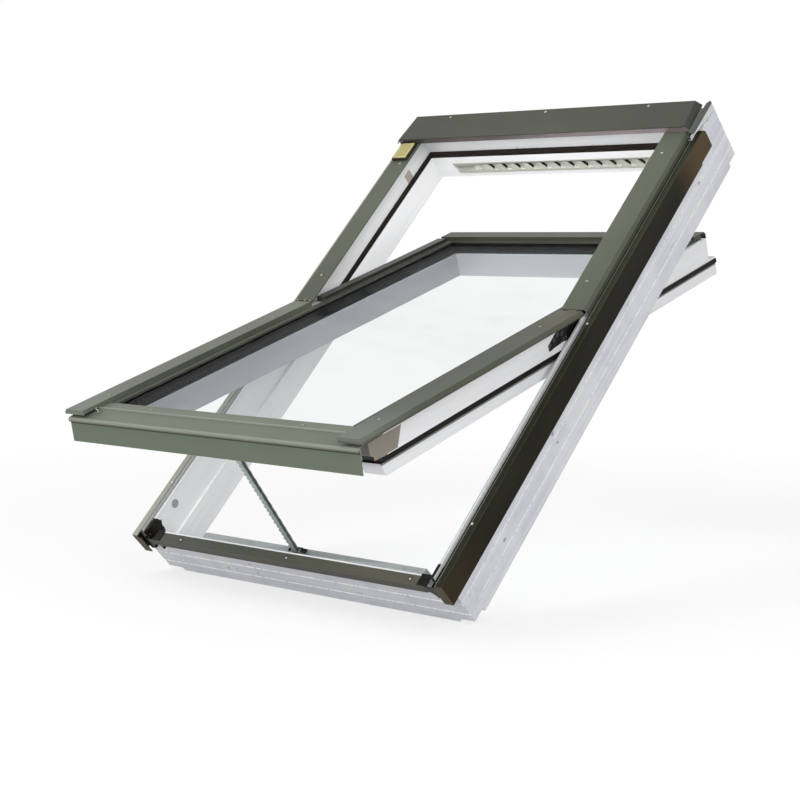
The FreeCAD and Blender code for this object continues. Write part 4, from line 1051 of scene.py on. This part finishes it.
def vent_strip():
    """Strip with a row of slanting cuts, dark plates behind them as painted shadow, and tabs bent
    from them, lightened as painted highlights.
    """
    strip, cutters, shadow, tabs = Piece(), Piece(), Piece(), Piece()
    short = VENT_HALF - VENT_SLANT
    ends = [(-VENT_HALF, VENT_HIGH), (-short, VENT_LOW), (short, VENT_LOW), (VENT_HALF, VENT_HIGH)]
    # X across Z points down the slope, so reaches run from the timber to the front
    back = (0, VENT_BACK, 0)
    strip.prism(back, X, Z, ends, 0.0, VENT_BACK - VENT_FRONT)
    for i in range(CUTS):
        x = CUT_START + CUT_PITCH * i
        cut = [(x + 3.0, 35.4), (x + 15.6, 18.6), (x + 21.2, 27.6), (x + 16.0, 35.6)]
        cutters.prism(back, X, Z, cut, -1.0, 4.0)
        shadow.prism(back, X, Z, cut, 0.05, 0.5)
        flap = [(x + 18.0, 17.2), (x + 30.0, 17.2), (x + 30.0, 20.4), (x + 20.0, 22.0)]
        tabs.prism((0, VENT_FRONT, 0), X, Z, flap, 0.0, 0.8, 0.2)
    window = [(-244, 19), (-224, 19), (-226, 32), (-242, 32)]
    cutters.prism(back, X, Z, window, -1.0, 4.0)
    cutters.lathe((-288, VENT_BACK + 1, 26), -Y, [(2.6, 0.0), (2.6, 5.0)], 20)
    tabs.block((-241.5, VENT_FRONT - 1.0, 20.0), (-226.5, VENT_FRONT + 0.6, 22.6), 0.3)
    tabs.block((-240.0, VENT_FRONT - 1.0, 28.4), (-228.0, VENT_FRONT + 0.6, 31.0), 0.3)
    tabs.block((-237.0, VENT_FRONT - 0.6, 23.4), (-231.0, VENT_FRONT + 0.8, 27.6), 0.3)
    panel = carved("vent_panel", strip, cutters, finish["vent_strip"], "vent_grey")
    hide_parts("vent_strip")
    # Painted shadow: dark plates at the back of the cuts
    dark = rubber("vent_dark", WINDOW, (0.010, 0.008, 0.007))
    shadow.make("vent_cut_shadow", "frame", WINDOW, dark, "vent_grey")
    # Painted highlight: the tabs are much paler than the strip they are bent from
    tab_highlight = coated("tab_highlight", WINDOW, (0.66, 0.66, 0.61), "x", edge=1.2)
    tabs.make("vent_tabs", "frame", WINDOW, tab_highlight, "vent_grey")


vent_strip()

# Drive housing, gasket and hood carrier

HOUSING_LEFT, HOUSING_RIGHT = -284.0, 290.0
HOUSING_LOW, HOUSING_HIGH = 26.0, 64.0
HOUSING_BACK, HOUSING_DEPTH = 50.0, 30.0
HOUSING_ROUND = 16.0
ROUND_STEPS = 8


def drive_housing():
    """Housing with a round upper left corner and the mouth that the chain leaves by."""
    outline = [
        (HOUSING_LEFT, HOUSING_LOW),
        (HOUSING_RIGHT, HOUSING_LOW),
        (HOUSING_RIGHT, HOUSING_HIGH),
    ]
    for i in range(ROUND_STEPS + 1):
        turn = math.radians(90 + 90 * i / ROUND_STEPS)
        x = HOUSING_LEFT + HOUSING_ROUND * (1 + math.cos(turn))
        outline.append((x, HOUSING_HIGH - HOUSING_ROUND * (1 - math.sin(turn))))
    shell, mouth = Piece(), Piece()
    shell.prism((0, HOUSING_BACK, 0), X, Z, outline, 0.0, HOUSING_DEPTH, 1.2)
    mouth.block((-32, 37, 52), (-18, 49, 70), 0.0)
    metal = finish["chain_drive_housing"]
    shell = carved("drive_housing", shell, mouth, metal, "housing_grey")
    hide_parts("chain_drive_housing")


def seen_part(node, name, plane, outward):
    """Stands in for a frame solid with what lies beyond a plane taken off."""
    shape = bmesh.new()
    shape.from_mesh(frame["nodes"][node].data)
    near = WINDOW @ Vector(plane)
    away = (WINDOW.to_3x3() @ outward).normalized()
    everything = shape.verts[:] + shape.edges[:] + shape.faces[:]
    bmesh.ops.bisect_plane(
        shape, geom=everything, plane_co=near, plane_no=away, clear_outer=True
    )
    rim = [e for e in shape.edges if e.is_boundary]
    bmesh.ops.holes_fill(shape, edges=rim)
    data = bpy.data.meshes.new(name)
    shape.to_mesh(data)
    shape.free()
    data.materials.append(finish[node])
    piece = bpy.data.objects.new(name, data)
    bpy.context.scene.collection.objects.link(piece)
    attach(piece, "frame")
    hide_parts(node)


def hood_end_ribs():
    """Three ribs beside the hood's left end, each higher than the last."""
    ribs = Piece()
    for i, x in enumerate((-370.5, -366.5, -362.5)):
        ribs.block((x - 1.1, 1088.0, 121.0), (x + 1.1, 1104.0, 137.0 + 2.5 * i), 0.4)
    ribs.make("hood_end_ribs", "frame", WINDOW, carrier_plastic, "black_plastic")


drive_housing()
# The frame's gasket is seen on the upper half only, and the left head bracket not at all
seen_part("frame_gasket", "upper_gasket", (0, 560, 60), -Y)
seen_part("head_cover_carrier", "hood_carrier", (-374, 0, 0), -X)
hood_end_ribs()

# Corner caps

CAP_INNER = CREST_INNER - 0.2
CAP_TOP = CREST_TOP + 0.4
CHANNEL = (364.9, 377.6)
CHANNEL_TOP = 111.4
RAMP_START, RAMP_END = 12.8, 24.2


def cap_hood(side, hand):
    """Thin black cover over the lower end of crest, channel and sill upstand."""
    cap = Piece()

    def block(inner, outer, low, high, soften):
        near, far = sorted((side * inner, side * outer))
        cap.block((near, low[0], low[1]), (far, high[0], high[1]), soften)

    # Y across Z points to +X
    wall = [(-0.5, 105.2), (34.5, 105.2), (33.4, 110), (31.2, 116), (28.0, 118.9)]
    wall += [(24.0, CAP_TOP), (-0.5, CAP_TOP)]
    reach = sorted((side * CAP_INNER, side * (CAP_INNER + 0.4)))
    cap.prism((0, 0, 0), Y, Z, wall, *reach, 0.12)
    # The sash cover's outer leg comes down over the channel beside the crest
    block(CAP_INNER, 365.3, (-0.5, CREST_TOP - 0.2), (29.0, CAP_TOP), 0.2)
    block(CAP_INNER, 365.3, (-1.0, 107.5), (-0.3, CAP_TOP), 0.2)
    block(*CHANNEL, (-0.5, 108.1), (29.0, CHANNEL_TOP), 0.6)
    block(*CHANNEL, (-1.5, 100.0), (-0.3, CHANNEL_TOP), 0.3)
    block(360.0, 372.0, (-11.6, 88.0), (-0.6, 105.6), 0.8)
    # X across Z points to -Y
    ramp = [(326.6, 106.5), (326.6, 106.9), (340, 107.2), (348.4, 107.4), (348.4, 105.4)]
    ramp += [(340, 105.2)]
    ramp = [(side * a, b) for a, b in ramp]
    cap.prism((0, RAMP_START, 0), X, Z, ramp, 0.0, RAMP_END, 0.3)
    cap.make(hand + "_cap_hood", "frame", WINDOW, cap_plastic, "black_plastic")


# Hinge castings

HINGE_SKIN = 354.4
HINGE_PLAN = (
    (503, 80),
    (520, 82),
    (556, 84),
    (562, 92),
    (562, 112),
    (548, 113),
    (528, 106),
    (514, 98),
    (503, 92),
)
# Bosses: place up the slope, height and radius
HINGE_BOSSES = ((510, 87, 6.5), (524, 95, 5.5), (538, 100, 7), (553, 98, 7.5), (556, 87, 4))


def hinge_knuckles(side, hand):
    """Cast plate with round bosses, below the hinge on the sash's side."""
    knuckles = Piece()
    reach = sorted((side * HINGE_SKIN, side * (HINGE_SKIN + 0.8)))
    knuckles.prism((0, 0, 0), Y, Z, HINGE_PLAN, *reach, 0.3)
    for y, z, radius in HINGE_BOSSES:
        profile = [(radius, 0.5), (radius, 1.3), (radius * 0.85, 2.2), (radius * 0.5, 2.7), (1, 2.8)]
        knuckles.lathe((side * HINGE_SKIN, y, z), X * side, profile, 20)
    knuckles.make(hand + "_hinge_knuckles", "sash", SASH, hinge_coat, "black_steel")


for side, hand in SIDES:
    cap_hood(side, hand)
for side, hand in SIDES:
    hinge_knuckles(side, hand)

# Push chain

FOOT = Vector((-25.0, 43.0, 63.0))
UPPER_PIN = Vector((-38.0, 83.86, 346.56))
LINKS = 29
LOBE = 5.3
LINK_HALF = 6.0
PLATE_OUT, PLATE_IN = 4.4, 3.2


def push_chain():
    """Lobed link plates in pairs round cores darkened as painted shade, from the outlet to the sash.
    """
    run = UPPER_PIN - FOOT
    along = run.normalized()
    pin = (Y - along * Y.dot(along)).normalized()
    wide = pin.cross(along)
    pitch = run.length / LINKS
    lobe = []
    for k in range(11):
        turn = math.radians(95 + 17 * k)
        lobe.append((-0.7 + LOBE * math.cos(turn), LOBE * 0.9 * math.sin(turn)))
    outline = [(LINK_HALF, -pitch / 2 + 0.25), (LINK_HALF, pitch / 2 - 0.25)] + lobe
    inner = [(-3.6, -0.42), (5.2, -0.46), (5.2, 0.46), (-3.6, 0.42)]
    inner = [(a, pitch * share) for a, share in inner]
    plates, core = Piece(), Piece()
    for i in range(LINKS):
        middle = FOOT + along * pitch * (i + 0.5)
        shift = 0.0 if i % 2 else 0.5
        for sign in (-1, 1):
            low, high = sorted((sign * (PLATE_IN - shift), sign * (PLATE_OUT - shift)))
            # wide across along points down the pins
            plates.prism(middle, wide, along, outline, low, high)
            head = middle + pin * sign * (PLATE_OUT - shift) - wide * 0.4
            plates.lathe(head, pin * sign, [(1.7, -0.3), (1.6, 0.25), (1.1, 0.45), (0.3, 0.5)], 12)
        core.prism(middle, wide, along, inner, -PLATE_IN + 0.6, PLATE_IN - 0.6, 0.3)
    links = plates.make("chain_links", "chain", WINDOW, chain_metal, "chain_steel")
    rollers = core.make("chain_rollers", "chain", WINDOW, chain_core_shade, "chain_steel")
    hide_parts("push_chain")
    for piece in (links, rollers):
        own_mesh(piece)


def chain_outlet():
    """Black guides round the mouth of the housing."""
    outlet = Piece()
    outlet.block((-10.0, 40.5, 63.6), (3.0, 48.0, 67.6), 0.6)
    outlet.block((-41.0, 39.5, 63.6), (-36.0, 48.0, 66.4), 0.6)
    outlet.block((-36.5, 49.0, 63.6), (-9.0, 50.4, 65.6), 0.4)
    outlet_black = plastic("outlet_black", WINDOW, (0.008, 0.008, 0.008), (0.06, 0.06, 0.06))
    outlet.make("chain_outlet", "frame", WINDOW, outlet_black, "black_steel")


push_chain()
chain_outlet()

# Light and floor

FLOOR_LEVEL = -0.0455
FLOOR_HALF = 4.0
CENTRE = Vector((0.0, 0.33, 0.42))
HEAD = Vector((0.0, 0.79, 0.84))
WORLD_LEVEL = 0.66
FLOOR_DIFFUSE = 0.36
FLOOR_GLOW = 0.63
SHADOW_REACH = (900.0, 2600.0)


def lamp(name, place, target, size, power):
    """A round soft lamp that mirrors and glass don't show."""
    data = bpy.data.lights.new(name, "AREA")
    data.shape = "DISK"
    data.size = size
    data.energy = power
    made = bpy.data.objects.new(name, data)
    aim = (target - Vector(place)).to_track_quat("-Z", "Y")
    made.matrix_world = Matrix.Translation(place) @ aim.to_matrix().to_4x4()
    made.visible_camera = False
    made.visible_glossy = False
    made.visible_transmission = False
    bpy.context.scene.collection.objects.link(made)


def seen_mask(nodes):
    """1 on rays that show the background itself: camera, mirror and glass."""
    path = nodes.nodes.new("ShaderNodeLightPath")
    total = path.outputs["Is Camera Ray"]
    for name in ("Is Glossy Ray", "Is Transmission Ray"):
        add = nodes.nodes.new("ShaderNodeMath")
        add.operation = "MAXIMUM"
        nodes.links.new(total, add.inputs[0])
        nodes.links.new(path.outputs[name], add.inputs[1])
        total = add.outputs[0]
    return total


def make_world():
    """White where it is seen, and a plain level of light on the window."""
    world = bpy.data.worlds.new("studio")
    bpy.context.scene.world = world
    world.use_nodes = True
    tree = world.node_tree
    background = tree.nodes["Background"]
    background.inputs["Color"].default_value = (1, 1, 1, 1)
    strength = tree.nodes.new("ShaderNodeMapRange")
    strength.inputs["To Min"].default_value = WORLD_LEVEL
    strength.inputs["To Max"].default_value = 1.0
    tree.links.new(seen_mask(tree), strength.inputs["Value"])
    tree.links.new(strength.outputs[0], background.inputs["Strength"])


def floor_paint():
    """Pale near the window, where it keeps the shadow, and plain white further away."""
    f = Finish("floor_white", Matrix.Scale(MILLI, 4), 0.9, Specular_IOR_Level=0.0)
    f.done(f.mix(f.noise(300.0, 2.0), (0.745, 0.745, 0.745), (0.755, 0.755, 0.755)))
    away = f.vector("LENGTH", f.vector("SUBTRACT", f.spot, (0, CENTRE.y / MILLI, 0)))
    shade = f.node("ShaderNodeBsdfDiffuse", Color=(FLOOR_DIFFUSE,) * 3)
    glow = f.node("ShaderNodeEmission", Color=(1, 1, 1), Strength=FLOOR_GLOW)
    near_floor = f.node("ShaderNodeAddShader")
    f.tree.links.new(shade.outputs[0], near_floor.inputs[0])
    f.tree.links.new(glow.outputs[0], near_floor.inputs[1])
    plain_white = f.node("ShaderNodeEmission", Color=(1, 1, 1), Strength=1.0)
    shown = f.node("ShaderNodeMixShader")
    f.tree.links.new(f.ramp(away, *SHADOW_REACH), shown.inputs[0])
    f.tree.links.new(near_floor.outputs[0], shown.inputs[1])
    f.tree.links.new(plain_white.outputs[0], shown.inputs[2])
    both = f.node("ShaderNodeMixShader")
    f.tree.links.new(seen_mask(f.tree), both.inputs[0])
    f.tree.links.new(f.shader.outputs[0], both.inputs[1])
    f.tree.links.new(shown.outputs[0], both.inputs[2])
    f.tree.links.new(both.outputs[0], f.tree.nodes["Material Output"].inputs["Surface"])
    return f.material


def make_floor():
    shape = bmesh.new()
    bmesh.ops.create_grid(shape, x_segments=8, y_segments=8, size=FLOOR_HALF)
    bmesh.ops.translate(shape, verts=shape.verts, vec=(0, CENTRE.y, FLOOR_LEVEL))
    data = bpy.data.meshes.new("floor")
    shape.to_mesh(data)
    shape.free()
    data.materials.append(floor_paint())
    floor = bpy.data.objects.new("floor", data)
    bpy.context.scene.collection.objects.link(floor)


lamp("top_lamp", (-1.3, -1.9, 3.4), CENTRE, 2.4, 44)
lamp("right_lamp", (3.4, -0.8, 1.3), CENTRE, 2.4, 38)
lamp("front_lamp", (0.5, -3.4, 0.7), CENTRE, 2.4, 62)
lamp("head_lamp", (0.0, 0.28, 0.93), HEAD, 0.4, 2.8)
make_world()
make_floor()

bpy.context.scene.view_settings.view_transform = "Standard"
